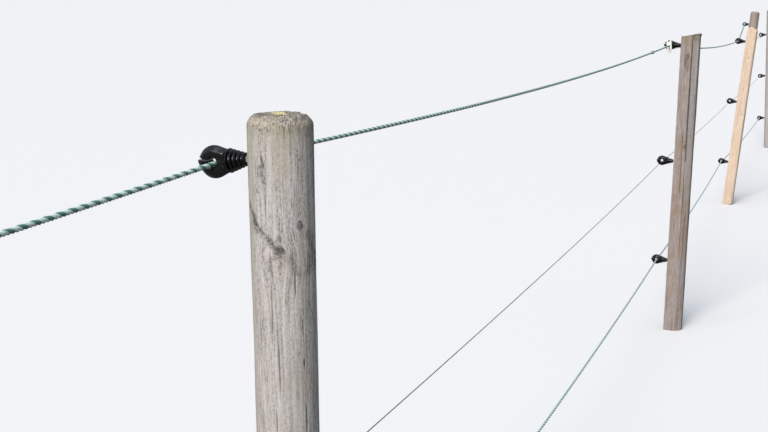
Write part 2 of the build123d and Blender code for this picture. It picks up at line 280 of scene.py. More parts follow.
# %% Building blocks of the finishes
class Finish:
    """A new material, with short ways to add the nodes that the finishes share."""

    def __init__(self, name):
        self.material = bpy.data.materials.new(name)
        self.material.use_nodes = True
        self.tree = self.material.node_tree
        self.shader = self.tree.nodes["Principled BSDF"]

    def add(self, kind, **settings):
        node = self.tree.nodes.new(kind)
        for setting, value in settings.items():
            setattr(node, setting, value)
        return node

    def link(self, source, target):
        self.tree.links.new(source, target)

    def place(self):
        """The surface's own place in the fence's frame."""
        return self.add("ShaderNodeTexCoord").outputs["Object"]

    def stored(self, name, vector=False):
        """What a corner of the mesh has stored under a name."""
        node = self.add("ShaderNodeAttribute", attribute_name=name)
        return node.outputs["Vector" if vector else "Fac"]

    def stretched(self, vector, stretch):
        """A place scaled by different amounts along x, y and z."""
        node = self.add("ShaderNodeMapping")
        node.inputs["Scale"].default_value = stretch
        self.link(vector, node.inputs["Vector"])
        return node.outputs["Vector"]

    def noise(self, vector, scale, detail=3.0, rough=0.55, warp=0.0):
        """A soft random pattern with so many lumps to the metre."""
        node = self.add("ShaderNodeTexNoise")
        node.inputs["Scale"].default_value = scale
        node.inputs["Detail"].default_value = detail
        node.inputs["Roughness"].default_value = rough
        node.inputs["Distortion"].default_value = warp
        self.link(vector, node.inputs["Vector"])
        return node.outputs["Fac"]

    def ramp(self, value, stops):
        """Turns a value into a colour, through stops of place and colour."""
        node = self.add("ShaderNodeValToRGB")
        marks = node.color_ramp.elements
        while len(marks) < len(stops):
            marks.new(0.5)
        for mark, (place, colour) in zip(marks, stops):
            mark.position = place
            mark.color = (*colour, 1)
        self.link(value, node.inputs["Fac"])
        return node.outputs["Color"]

    def spread(self, value, low, high, to_low=0.0, to_high=1.0):
        """Stretches a part of a value's range over another range."""
        node = self.add("ShaderNodeMapRange")
        for place, number in enumerate((low, high, to_low, to_high), 1):
            node.inputs[place].default_value = number
        self.link(value, node.inputs["Value"])
        return node.outputs["Result"]

    def sum(self, operation, first, second):
        """What an operation makes of two values, or of a value and a number."""
        node = self.add("ShaderNodeMath", operation=operation)
        for socket, value in zip(node.inputs, (first, second)):
            if isinstance(value, (int, float)):
                socket.default_value = value
            else:
                self.link(value, socket)
        return node.outputs[0]

    def mix(self, share, first, second):
        """A mix of two colours, by a share that is a number or a value."""
        node = self.add("ShaderNodeMix", data_type="RGBA")
        for socket, value in zip((node.inputs[0], node.inputs[6], node.inputs[7]), (share, first, second)):
            if isinstance(value, (int, float)):
                socket.default_value = value
            elif isinstance(value, tuple):
                socket.default_value = (*value, 1)
            else:
                self.link(value, socket)
        return node.outputs[2]

    def bump(self, height, depth, strength=1.0):
        """Roughens the surface by a height pattern, depth metres deep."""
        node = self.add("ShaderNodeBump")
        node.inputs["Strength"].default_value = strength
        node.inputs["Distance"].default_value = depth
        self.link(height, node.inputs["Height"])
        return node.outputs["Normal"]


# %% [markdown]
# ## Wood that has stood outside
#
# Rain and sun take the brown out of timber and leave silver-grey fibres, darker
# hollows between them, and black in the cracks. Four woods here share one network
# of nodes with four palettes. The fibres can't simply follow the post, because they
# flow round each knot, so the meshes store the fibres' own coordinates as `grain`,
# and the marks that the mesh carries: `crack`, `knot`, `stain`, `aged`, `green` and
# `lichen`. Each pattern of the fibres is a noise that is squeezed along them, and is
# listed with that squeeze, its lumps to the metre, its detail, roughness and warp.

# %% The wood finish
wood_patterns = {
    "streak": (0.030, 230, 4, 0.60, 0.5),
    "fibre": (0.060, 560, 3, 0.65, 0.0),
    "grit": (0.45, 560, 2, 0.75, 0.0),
    "fleck": (0.70, 400, 2, 0.70, 0.0),
    "band": (0.075, 52, 3, 0.55, 0.0),
    "lines": (0.050, 300, 2, 0.50, 0.8),
    "broken": (0.30, 110, 2, 0.60, 0.0),
}
pattern_shares = {"streak": 0.30, "fibre": 0.26, "grit": 0.22, "fleck": 0.22}
shade_stops = {"dark": 0.41, "low": 0.465, "main": 0.515, "pale": 0.59}
lichen_stops = ((0.36, (0.34, 0.25, 0.08)), (0.50, (0.70, 0.62, 0.30)), (0.64, (0.80, 0.74, 0.45)))


def wood(name, palette):
    """A weathered wood whose fibres follow the grain stored in the mesh."""
    made = Finish(name)
    grain = made.stored("grain", vector=True)
    place = made.place()
    aged = made.stored("aged")
    seen = {}
    for pattern, (squeeze, lumps, detail, rough, warp) in wood_patterns.items():
        seen[pattern] = made.noise(made.stretched(grain, (1, 1, squeeze)), lumps, detail, rough, warp)
    grit = seen["grit"]
    patch = made.noise(place, 16, 4, 0.6)
    parts = [made.sum("MULTIPLY", seen[pattern], share) for pattern, share in pattern_shares.items()]
    blend = parts[0]
    for part in parts[1:]:
        blend = made.sum("ADD", blend, part)
    base = made.ramp(blend, [(stop, palette[shade]) for shade, stop in shade_stops.items()])
    base = made.mix(made.spread(seen["band"], 0.40, 0.68, 0, palette["band_share"]), base, palette["band"])
    base = made.mix(made.spread(patch, 0.48, 0.66, 0, palette["warm_share"]), base, palette["warm"])
    thin = made.sum("ABSOLUTE", made.sum("SUBTRACT", seen["lines"], 0.5), 0)
    thin = made.spread(thin, 0.004, 0.020, palette["line_share"], 0)
    broken = made.spread(seen["broken"], 0.47, 0.58)
    base = made.mix(made.sum("MULTIPLY", thin, broken), base, palette["dark"])
    base = made.mix(made.spread(grit, 0.60, 0.70, 0, palette["speck_share"]), base, palette["dark"])
    aged_stops = ((0.40, palette["aged_dark"]), (0.50, palette["aged"]), (0.62, palette["pale"]))
    base = made.mix(aged, base, made.ramp(grit, aged_stops))
    # The green mark tints moss and algae, and on the front post's lit left edge it also paints light
    # reflected from the grass.
    green = made.sum("MULTIPLY", made.stored("green"), made.spread(grit, 0.35, 0.60, 0.45, 1))
    base = made.mix(green, base, palette["green"])
    stain = made.sum("MULTIPLY", made.stored("stain"), made.spread(seen["fleck"], 0.62, 0.46, 0.45, 1))
    base = made.mix(stain, base, palette["stain"])
    knot_colour = made.ramp(grit, ((0.40, palette["knot_dark"]), (0.62, palette["knot"])))
    base = made.mix(made.stored("knot"), base, knot_colour)
    base = made.mix(made.stored("crack"), base, palette["crack"])
    base = made.mix(made.stored("lichen"), base, made.ramp(made.noise(place, 420), lichen_stops))
    made.link(base, made.shader.inputs["Base Color"])
    made.link(made.spread(seen["fibre"], 0.35, 0.65, 0.95, 0.78), made.shader.inputs["Roughness"])
    made.shader.inputs["Specular IOR Level"].default_value = 0.25
    height = made.sum("ADD", made.sum("MULTIPLY", grit, 0.5), seen["streak"])
    height = made.sum("ADD", height, made.sum("MULTIPLY", made.sum("MULTIPLY", grit, aged), 1.4))
    made.link(made.bump(height, palette["depth"]), made.shader.inputs["Normal"])
    return made.material


silver = {
    "dark": (0.185, 0.165, 0.155), "low": (0.355, 0.325, 0.305), "main": (0.480, 0.443, 0.425),
    "pale": (0.610, 0.575, 0.550), "band": (0.56, 0.53, 0.52), "band_share": 0.35,
    "warm": (0.410, 0.350, 0.290), "warm_share": 0.30, "speck_share": 0.30, "line_share": 0.55,
    "aged": (0.360, 0.300, 0.230), "aged_dark": (0.080, 0.062, 0.048), "stain": (0.085, 0.078, 0.075),
    "green": (0.375, 0.335, 0.235), "knot": (0.14, 0.12, 0.11), "knot_dark": (0.045, 0.038, 0.034),
    "crack": (0.030, 0.025, 0.022), "depth": 0.9 * mm,
}
split_palette = dict(
    silver, dark=(0.11, 0.080, 0.065), low=(0.235, 0.180, 0.150), main=(0.350, 0.285, 0.255),
    pale=(0.47, 0.41, 0.385), band=(0.36, 0.325, 0.335), band_share=0.6, warm=(0.30, 0.205, 0.130),
    warm_share=0.55, green=(0.22, 0.20, 0.10), aged=(0.50, 0.475, 0.455), aged_dark=(0.26, 0.235, 0.22),
)
old_palette = dict(
    silver, dark=(0.12, 0.095, 0.075), low=(0.25, 0.205, 0.165), main=(0.36, 0.305, 0.255),
    pale=(0.46, 0.40, 0.34), band=(0.30, 0.27, 0.23), warm=(0.28, 0.21, 0.13), green=(0.23, 0.21, 0.12),
)
fresh_palette = dict(
    silver, dark=(0.38, 0.25, 0.165), low=(0.60, 0.44, 0.315), main=(0.745, 0.580, 0.445),
    pale=(0.83, 0.69, 0.56), band=(0.76, 0.61, 0.49), warm=(0.68, 0.49, 0.35), green=(0.55, 0.46, 0.32),
    knot=(0.36, 0.20, 0.11), knot_dark=(0.20, 0.10, 0.05), crack=(0.16, 0.09, 0.05), speck_share=0.15,
)
finishes = {
    "weathered_wood": wood("weathered_wood", silver),
    "split_wood": wood("split_wood", split_palette),
    "old_wood": wood("old_wood", old_palette),
    "fresh_wood": wood("fresh_wood", fresh_palette),
}
print("wood finishes:", len(finishes))

# %% [markdown]
# ## Where things stand
#
# Every post is kept in one table: where its foot is, how far its top leans away from
# the pasture in degrees, how tall it is, how far its pasture side is from its middle
# line, and how high its rings sit. The front post's fittings stand off the wood and
# droop a little, so a fitting's place needs two turns and a step outwards.

# %% The posts and the places of their fittings
ring_levels = ("top", "middle", "bottom")
ring_reach = 50.7 * mm
old_ring_reach = 30 * mm
posts = {
    "near_end": {"foot": (-3550, 13), "lean": 0, "height": 1306, "face": 41, "rings": (1250, 724, 300)},
    "front": {"foot": (0, 0), "lean": -0.55, "height": 1315.5, "face": 41, "rings": (1252, 722, 292),
              "stands_off": (2.8, 3.3, 0.5), "droop": 6.5},
    "split": {"foot": (3675, 36.5), "lean": 0.6, "height": 1302, "face": 38, "rings": (1251, 753, 310),
              "stands_off": (0, 2.3, 0)},
    "stake": {"foot": (6907, 141.5), "lean": 4.4, "height": 1250, "face": 34, "rings": (1146, 728, 300)},
    "old": {"foot": (6967.3, 146), "lean": 4.4, "height": 1353, "face": 30, "rings": (1262,)},
    "far_end": {"foot": (10200, 104), "lean": -2.5, "height": 1330, "face": 41, "rings": (1095, 700, 290)},
}


def post_place(post):
    """The turn and step that bring an upright post from the middle of things to its own place."""
    x, y = posts[post]["foot"]
    lean = Matrix.Rotation(math.radians(posts[post]["lean"]), 4, "X")
    return Matrix.Translation((x * mm, y * mm, 0)) @ lean


def along_post(post, height):
    """How far up a leaning post a height lies."""
    return height * mm / math.cos(math.radians(posts[post]["lean"]))


def seat_place(post, index):
    """The place of a fitting's seat on the pasture side of a post."""
    sizes = posts[post]
    droop = math.radians(sizes.get("droop", 0))
    out = (sizes["face"] + sizes.get("stands_off", (0, 0, 0))[index]) * mm
    up = along_post(post, sizes["rings"][index]) + ring_reach * math.sin(droop)
    return post_place(post) @ Matrix.Translation((0, out, up)) @ Matrix.Rotation(-droop, 4, "X")


def ring_centre(post, index):
    """The middle of a ring's eye."""
    reach = old_ring_reach if post == "old" else ring_reach
    return seat_place(post, index) @ Vector((0, reach, 0))


print("rings in the table:", sum(len(sizes["rings"]) for sizes in posts.values()))

# %% [markdown]
# ## Round posts
#
# A round post is a peeled log with a worn bevel at its top. A cylinder is the
# natural start. Its long edges are subdivided in two steps, so that the stretch
# near the top, which the eye meets first, gets the finest mesh. The bevel is drawn
# out of the top face by extruding and scaling, and the end grain by insetting.

# %% A round blank
bevel_in = 7.5 * mm
bevel_down = 14.5 * mm
bevel_steps = 4
buried = 12 * mm


def close_top(centre, rings):
    """Fills a post's flat top, which is selected, with rings of faces about its middle."""
    for ring in range(rings - 1):
        smaller = (rings - ring - 1) / (rings - ring)
        bpy.ops.mesh.extrude_region_move(TRANSFORM_OT_translate={"value": (0, 0, 0)})
        bpy.ops.transform.resize(value=(smaller, smaller, smaller), center_override=centre)
    bpy.ops.mesh.poke()


def round_blank(name, radius, length, sides, bands, fine_from, fine_cuts, coarse_cuts):
    """A round post, upright, from just under the ground to its bevelled top."""
    bpy.ops.object.select_all(action="DESELECT")
    straight = length - bevel_down + buried
    bpy.ops.mesh.primitive_cylinder_add(
        vertices=sides, radius=radius, depth=straight, location=(0, 0, straight / 2 - buried)
    )
    post = bpy.context.object
    post.name = name
    bpy.ops.object.transform_apply(location=True)
    bpy.ops.object.mode_set(mode="EDIT")
    choose(post, "EDGE", runs_up)
    bpy.ops.mesh.subdivide(number_cuts=bands)
    choose(post, "EDGE", lambda edge: runs_up(edge) and middle_z(edge) > fine_from)
    bpy.ops.mesh.subdivide(number_cuts=fine_cuts)
    choose(post, "EDGE", lambda edge: runs_up(edge) and middle_z(edge) < fine_from)
    bpy.ops.mesh.subdivide(number_cuts=coarse_cuts)
    choose(post, "FACE", lambda face: face.normal.z > 0.9)
    for step in range(bevel_steps):
        was = radius - bevel_in * (step / bevel_steps) ** 2
        now = radius - bevel_in * ((step + 1) / bevel_steps) ** 2
        bpy.ops.mesh.extrude_region_move(
            TRANSFORM_OT_translate={"value": (0, 0, bevel_down / bevel_steps)}
        )
        bpy.ops.transform.resize(value=(now / was, now / was, 1), center_override=(0, 0, 0))
    close_top((0, 0, length), 13)
    bpy.ops.object.mode_set(mode="OBJECT")
    return post


# %% [markdown]
# The blank is far too perfect. Real weathering follows the fibres, which no
# operator knows about, so here the corners are moved in code. Each corner is placed
# by its angle round the post and its height. Knots bend the fibres around them,
# ridges and hollows follow the bent fibres, and cracks are drawn as lines on the
# post's surface, by angle and height, each with its own width and depth.

# %% Marks on a post
def wrapped(turn):
    """An angle brought between minus half a turn and half a turn."""
    return (turn + math.pi) % (2 * math.pi) - math.pi


def line_distance(s, z, line):
    """How far each place is from a line on the surface, and how far along it is."""
    best = np.full(len(s), 1e9)
    along = np.zeros(len(s))
    for k, ((s0, z0), (s1, z1)) in enumerate(zip(line, line[1:])):
        ds = s1 - s0
        dz = z1 - z0
        share = np.clip(((s - s0) * ds + (z - z0) * dz) / (ds * ds + dz * dz), 0, 1)
        away = np.hypot(s - s0 - share * ds, z - z0 - share * dz)
        nearer = away < best
        best[nearer] = away[nearer]
        along[nearer] = (k + share[nearer]) / (len(line) - 1)
    return best, along


mark_names = ("crack", "knot", "stain", "aged", "green", "lichen")


class Surface:
    """What weathering has done to a post, gathered corner by corner."""

    def __init__(self, piece, seed):
        self.piece = piece
        self.rows = corners_of(piece)
        self.out = normals_of(piece)
        self.turn = np.arctan2(self.rows[:, 1], self.rows[:, 0])
        self.z = self.rows[:, 2]
        self.grain = self.rows.copy()
        self.seed = seed
        self.lift = np.zeros(len(self.rows))
        self.marks = {name: np.zeros(len(self.rows)) for name in mark_names}
        self.side = step_up(-np.abs(self.out[:, 2]), -0.75, -0.35)

    def mark(self, name, values):
        """Keeps the stronger of a mark that is there and a new one."""
        self.marks[name] = np.maximum(self.marks[name], values)

    def rough(self, seed, across, along, depth):
        """Adds ridges and hollows that follow the fibres."""
        scale = np.array([1 / across, 1 / across, 1 / along])
        self.lift += depth * noise(self.grain * scale, self.seed + seed)

    def finish(self):
        """Moves the corners and stores the marks in the mesh."""
        move_corners(self.piece, self.rows + self.out * self.lift[:, None])
        note(self.piece, "grain", self.grain)
        for name, values in self.marks.items():
            note(self.piece, name, np.clip(values, 0, 1))


def bend_fibres(skin, radius, turn, height, wide, high, share):
    """Lets the fibres flow round a knot at an angle and a height."""
    ds = radius * wrapped(skin.turn - turn)
    dz = skin.z - height
    pull = share * np.exp(-(dz / (2.4 * high)) ** 2) * np.exp(-(ds / (2.6 * wide)) ** 2)
    back = -ds * pull / radius
    x, y = skin.grain[:, 0].copy(), skin.grain[:, 1].copy()
    skin.grain[:, 0] = x * np.cos(back) - y * np.sin(back)
    skin.grain[:, 1] = x * np.sin(back) + y * np.cos(back)


def add_knot(skin, radius, turn_degrees, height, wide, high, dark, dome, flow=0.6):
    """A knot: bent fibres, a dark eye with a groove round it, and a low dome."""
    turn = math.radians(turn_degrees)
    bend_fibres(skin, radius, turn, height, wide, high, flow)
    ds = radius * wrapped(skin.turn - turn) / wide
    dz = (skin.z - height) / high
    away = np.hypot(ds, dz)
    inside = (1 - step_up(away, 0.75, 1.15)) * skin.side
    rings = 0.72 + 0.28 * np.cos(dz * 7 + 0.6)
    skin.mark("knot", inside * dark * rings)
    skin.mark("crack", 0.75 * dark * np.exp(-((away - 1) / 0.16) ** 2) * skin.side)
    groove = 0.3 * mm * np.exp(-((away - 1) / 0.2) ** 2)
    skin.lift += (dome * np.exp(-(away / 1.3) ** 2) - groove) * skin.side


def away_from_line(skin, radius, points):
    """How far each corner is from a line of angles and heights, and how far along it is."""
    middle = math.radians(points[0][0])
    s = radius * wrapped(skin.turn - middle)
    line = [(radius * (math.radians(turn) - middle), height * mm) for turn, height in points]
    return line_distance(s, skin.z, line)


def add_crack(skin, radius, points, width, depth, dark=1.0):
    """A crack along a line of angles and heights, thin at both ends."""
    away, along = away_from_line(skin, radius, points)
    taper = np.sqrt(np.clip(np.sin(np.pi * np.clip(along, 0.02, 0.98)), 0, 1))
    wander = 1 + 0.35 * noise(skin.rows * np.array([0, 0, 1]) / (9 * mm), skin.seed + 71)
    shape = np.exp(-(away / (width * taper * wander)) ** 2) * skin.side
    skin.lift -= depth * taper * shape
    skin.mark("crack", dark * taper ** 0.5 * shape)


def add_stain(skin, radius, points, width, dark):
    """A soft dark stain along a line of angles and heights."""
    away = away_from_line(skin, radius, points)[0]
    ragged = 1 + 0.45 * noise(skin.rows / (2.6 * mm), skin.seed + 72)
    skin.mark("stain", dark * np.exp(-(away / (width * ragged)) ** 3) * skin.side)


# %% [markdown]
# Long drying cracks run up every side of a post. These are drawn by a seeded
# random generator, so they are the same each time the lesson runs. Thin and long
# with a slight wander looks right; wide and short looks like a cut. Round the top
# the end grain opens in spokes from the heart, and the rim wears into chips.

# %% Drying cracks and the worn top
def add_drying_cracks(skin, radius, length, count, widest, turns=(-180, 180)):
    """Long fine cracks at random places between two angles."""
    draw = np.random.default_rng(skin.seed)
    for _ in range(count):
        turn = draw.uniform(*turns)
        size = draw.uniform(60, 330)
        start = draw.uniform(10, length / mm - size - 20)
        points = [
            (turn + draw.normal(0, 0.8), start + share * size) for share in np.linspace(0, 1, 6)
        ]
        add_crack(skin, radius, points, draw.uniform(0.5, 1.0) * widest, draw.uniform(0.8, 2.2) * mm,
                  draw.uniform(0.45, 0.9))


heart = (6 * mm, -4 * mm)
ring_spacing = 1.15 * mm


def add_worn_top(skin, radius, length, spokes):
    """Opens the end grain in spokes, rings it, and chips the rim."""
    draw = np.random.default_rng(skin.seed + 5)
    x = skin.rows[:, 0] - heart[0]
    y = skin.rows[:, 1] - heart[1]
    reach = np.hypot(x, y)
    turn = np.arctan2(y, x)
    top = step_up(skin.z, length - 3 * bevel_down, length - 0.6 * bevel_down)
    cap = 1 - skin.side
    rings = np.sin(reach / ring_spacing + 1.6 * noise(skin.rows / (14 * mm), skin.seed + 9))
    skin.lift += cap * top * 0.22 * mm * rings
    skin.mark("crack", cap * top * 0.35 * step_up(-rings, 0.3, 0.95))
    for spoke in range(spokes):
        angle = draw.uniform(-math.pi, math.pi)
        size = draw.uniform(0.35, 1.25) * radius
        bend = 0.12 * noise(skin.rows / (9 * mm), skin.seed + 20 + spoke)
        away = reach * np.abs(np.sin(turn - angle + bend)) + 1e3 * (np.cos(turn - angle) < 0)
        reach_share = 1 - step_up(reach, 0.8 * size, size)
        wide = draw.uniform(0.35, 0.8) * mm
        shape = np.exp(-(away / wide) ** 2) * reach_share * top
        skin.lift -= shape * draw.uniform(0.8, 2.4) * mm
        skin.mark("crack", shape)
    inwards = radius - np.hypot(skin.rows[:, 0], skin.rows[:, 1])
    rim = top * np.exp(-((inwards - 4 * mm) / (5 * mm)) ** 2)
    chips = noise(skin.rows * np.array([1, 1, 0.5]) / (7 * mm), skin.seed + 40)
    skin.lift -= rim * step_up(chips, 0.0, 0.9) * 1.6 * mm
    skin.lift += top * cap * 0.5 * mm * noise(skin.rows / (4 * mm), skin.seed + 41)
    skin.lift -= top * cap * 0.5 * mm


collar_radius = 7 * mm
collar_clear = 12 * mm


def keep_seats(skin, heights, radius):
    """Leaves the wood smooth where the screws' collars lie against it."""
    for height in heights:
        away = np.hypot(radius * wrapped(skin.turn - math.pi / 2), skin.z - height)
        skin.lift *= step_up(away, collar_radius, collar_clear)


# %% [markdown]
# Every round post ends the same way: ridges and hollows of several sizes that
# follow the fibres, a worn top, and smooth seats for its screws. The finished post
# is then leaned and stood in its place, and cut off level at the ground.

# %% Finishing and placing a post
def roughen(skin, ridges):
    """Ridges and hollows, each given as its width, its length and its depth."""
    for number, (across, along, depth) in enumerate(ridges):
        skin.rough(number, across * mm, along * mm, depth * mm)


round_ridges = ((46, 330, 0.9), (11, 150, 0.42), (4.2, 70, 0.26), (2.3, 34, 0.16))


def stand(piece, post, node):
    """Leans a post, stands it on its foot and cuts it off level at the ground."""
    piece.data.transform(post_place(post))
    pick(piece)
    bpy.ops.object.mode_set(mode="EDIT")
    bpy.ops.mesh.select_all(action="SELECT")
    bpy.ops.mesh.bisect(plane_co=(0, 0, 0), plane_no=(0, 0, 1), use_fill=True, clear_inner=True,
                        threshold=1e-6)
    bpy.ops.object.mode_set(mode="OBJECT")
    bpy.ops.object.shade_smooth()
    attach(piece, "root")
    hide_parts(node)
    print(piece.name, "has", triangles(piece), "triangles")


def finish_as(piece, slot):
    """Gives a piece one of the finishes, which is named after the record's slot."""
    piece.data.materials.clear()
    piece.data.materials.append(finishes[slot])


def seat_heights(post):
    """How far up a post its screws go in."""
    return [along_post(post, height) for height in posts[post]["rings"]]


# %% [markdown]
# The front post's marks are placed where the photograph shows them: a diagonal
# scar that ends in a long knot under the ring insulator, a small round knot, a
# banded one at the right, two long cracks with finer ones beside them, and a
# swelling where a whorl of branches once grew. Angles are in degrees, counted from
# the fence line, and heights are in millimetres above the ground.

# %% The front post
front_radius = 41 * mm
front_length = along_post("front", posts["front"]["height"])
front_post = round_blank("front_timber", front_radius, front_length, 224, 82, 0.88, 6, 1)
skin = Surface(front_post, 11)

front_knots = (
    (204.2, 1154, 4.3, 3.5, 1.0, 0.5),
    (202.3, 1169, 2.2, 2.2, 1.0, 0.2),
    (239.5, 1183, 3.7, 5.6, 1.0, 0.4),
    (281.0, 1136, 4.0, 12, 0.8, 0.2),
    (162.0, 1225, 1.6, 1.6, 0.8, 0.0),
)
for turn, height, wide, high, dark, dome in front_knots:
    add_knot(skin, front_radius, turn, height * mm, wide * mm, high * mm, dark, dome * mm)
whorl_turn = math.radians(196)
bend_fibres(skin, front_radius, whorl_turn, 1136 * mm, 13 * mm, 11 * mm, 0.45)
whorl_s = front_radius * wrapped(skin.turn - whorl_turn)
whorl_z = skin.z - 1143 * mm
skin.lift += 1.1 * mm * np.exp(-(whorl_s / (17 * mm)) ** 2 - (whorl_z / (15 * mm)) ** 2)

front_cracks = (
    (((176.3, 1252), (176.3, 1258), (173.5, 1268)), 1.3, 2.2, 1.0),
    (((136, 1205), (149.5, 1193.5), (157, 1184), (170, 1176), (181, 1169), (191, 1159.5),
      (200, 1155)), 1.2, 1.2, 0.35),
    (((226, 1180), (230, 1163)), 1.0, 0.7, 0.6),
    (((237, 1200), (238.5, 1192)), 0.9, 0.7, 0.6),
    (((185.7, 1127), (185.3, 1092), (184.4, 1060), (183.2, 1035)), 0.8, 2.0, 0.9),
    (((194.8, 1066), (195.2, 1040), (195.5, 1015), (196.3, 985), (196.9, 950)), 0.75, 2.2, 0.95),
    (((228.1, 1128), (228.0, 1110), (228.2, 1094)), 0.8, 1.8, 0.85),
    (((241.4, 1066), (241.8, 1039)), 0.7, 1.4, 0.8),
    (((242.6, 1014), (243.5, 1003)), 1.1, 1.6, 0.9),
    (((246.2, 953), (246.3, 935), (246.0, 915)), 0.9, 2.0, 0.9),
    (((188.6, 952), (188.1, 935), (187.7, 919)), 0.8, 1.8, 0.85),
    (((252, 1091), (259, 1080), (267, 1068), (275.5, 1047)), 0.9, 0.7, 0.5),
    (((184, 1146), (192, 1150), (202, 1148), (212, 1138)), 0.8, 0.5, 0.45),
    (((182, 1140), (192, 1143), (203, 1141), (216, 1128)), 0.8, 0.5, 0.40),
    (((226, 955), (227, 953)), 1.1, 0.6, 0.8),
    (((268.4, 934), (268.6, 931)), 1.1, 0.6, 0.8),
    (((255.8, 976), (255.8, 972)), 1.0, 0.6, 0.7),
)
for points, width, depth, dark in front_cracks:
    add_crack(skin, front_radius, points, width * mm, depth * mm, dark)
add_drying_cracks(skin, front_radius, front_length, 26, 0.9 * mm, (-62, 132))
add_drying_cracks(skin, front_radius, 0.90, 16, 0.6 * mm, (132, 298))

front_stains = (
    (((133, 1208), (141, 1200), (148, 1193)), 3.0, 0.95),
    (((147, 1194), (155, 1184), (162, 1178)), 5.6, 0.95),
    (((162, 1178), (173, 1172), (183, 1167)), 3.4, 0.70),
    (((183, 1167), (191, 1160), (199, 1154)), 5.0, 0.90),
    (((208, 1150), (219, 1142), (229, 1132), (236, 1120)), 4.2, 0.50),
    (((180, 1128), (185, 1141), (193, 1148), (202, 1147)), 3.2, 0.35),
    (((260, 1170), (268, 1154), (264, 1139), (258, 1124)), 7.5, 0.65),
    (((171, 1256), (174, 1246), (178, 1238)), 4.2, 0.60),
    (((283, 1312), (281, 1280), (283, 1250), (285, 1222)), 8.5, 0.35),
)
for points, width, dark in front_stains:
    add_stain(skin, front_radius, points, width * mm, dark)

streak_s = front_radius * wrapped(skin.turn - math.radians(205))
streak_wide = (5 + 9 * step_up(skin.z, 1.20, 1.30)) * mm
streak = np.exp(-(streak_s / streak_wide) ** 2) * step_up(skin.z, 1.205, 1.27) * skin.side
layers = 0.75 + 0.25 * noise(skin.rows / np.array([30, 30, 4]) / mm, 79)
skin.mark("green", 0.9 * streak * layers)
# The olive band on the lit left edge is painted light reflected from the grass, carried by the green mark.
lit_edge_away = front_radius * wrapped(skin.turn - math.radians(134))
lit_edge_share = 0.45 + 0.3 * step_up(skin.z, 1.15, 1.28)
skin.mark("green", lit_edge_share * np.exp(-(lit_edge_away / (12 * mm)) ** 2) * skin.side)
skin.mark("green", 0.55 * step_up(skin.z, 1.262, 1.300) * layers)
top_edge = 1.301 + 0.007 * noise(skin.rows / np.array([5, 5, 30]) / mm, 78)
skin.mark("aged", 0.9 * step_up(skin.z, top_edge - 0.010, top_edge + 0.006) * skin.side)
patch_away = np.hypot(skin.rows[:, 0] - 9 * mm, skin.rows[:, 1] - 7 * mm)
patch_edge = patch_away + 4 * mm * noise(skin.rows / (4 * mm), 77)
patch = (1 - step_up(patch_edge, 7 * mm, 11 * mm)) * (1 - skin.side) * step_up(skin.z, 1.30, 1.305)
skin.mark("lichen", patch)
skin.lift += 1.1 * mm * patch
bare_cap = (1 - skin.side) * step_up(skin.z, 1.25, 1.29) * (1 - patch)
skin.mark("aged", bare_cap)
skin.mark("stain", 0.85 * step_up(noise(skin.rows / (8 * mm), 80), -0.1, 0.4) * bare_cap)
worn_side = np.exp(-(wrapped(skin.turn - math.radians(300)) / 0.55) ** 2)
skin.lift -= 1.4 * mm * worn_side * step_up(skin.z, 1.304, 1.314)

roughen(skin, round_ridges)
skin.lift -= 0.4 * mm * skin.side
skin.lift = np.where(skin.out[:, 1] < -0.7, np.minimum(skin.lift, -0.1 * mm), skin.lift)
add_worn_top(skin, front_radius, front_length, 15)
keep_seats(skin, seat_heights("front"), front_radius)
skin.finish()
finish_as(front_post, "weathered_wood")
stand(front_post, "front", "front_post")

# %% [markdown]
# The other round posts come from the same blank and the same weathering, with their
# own seeds. The near end post and the far one are as thick as the front post. The
# old post is thinner, has leaned over with the years, and is greener and rougher.

# %% The other round posts
round_posts = (
    ("near_end", "weathered_wood", 23, 160, 60, 26),
    ("far_end", "weathered_wood", 37, 144, 56, 22),
    ("old", "old_wood", 51, 128, 60, 24),
)
for post, slot, seed, sides, bands, cracks in round_posts:
    radius = posts[post]["face"] * mm
    length = along_post(post, posts[post]["height"])
    timber = round_blank(f"{post}_timber", radius, length, sides, bands, 0.7, 2, 1)
    skin = Surface(timber, seed)
    draw = np.random.default_rng(seed)
    for _ in range(5):
        turn = draw.uniform(-180, 180)
        height = draw.uniform(0.15, 0.93) * length
        wide = draw.uniform(2.5, 6.5) * mm
        add_knot(skin, radius, turn, height, wide, wide * draw.uniform(0.9, 1.5), 0.85, 0.4 * mm)
    add_drying_cracks(skin, radius, length, cracks, 1.3 * mm)
    roughen(skin, round_ridges)
    skin.lift -= 0.4 * mm * skin.side
    skin.mark("green", 0.5 * step_up(noise(skin.rows / (60 * mm), seed + 8), 0.1, 0.7) * skin.side)
    skin.mark("aged", 0.7 * step_up(skin.z, length - 50 * mm, length - 25 * mm) * skin.side)
    skin.lift = np.minimum(skin.lift, 0)
    add_worn_top(skin, radius, length, 13)
    keep_seats(skin, seat_heights(post), radius)
    skin.finish()
    finish_as(timber, slot)
    stand(timber, post, f"{post}_post")

# %% [markdown]
# ## Split posts
#
# A split post is cleft from a log along its fibres, so it has flat faces, long
# sharp edges and a coarse, torn grain. Its outline is drawn as a six-sided face,
# whose sides are subdivided and which is then extruded to the post's length. The
# top falls to both sides of a ridge, which takes two slanting cuts.

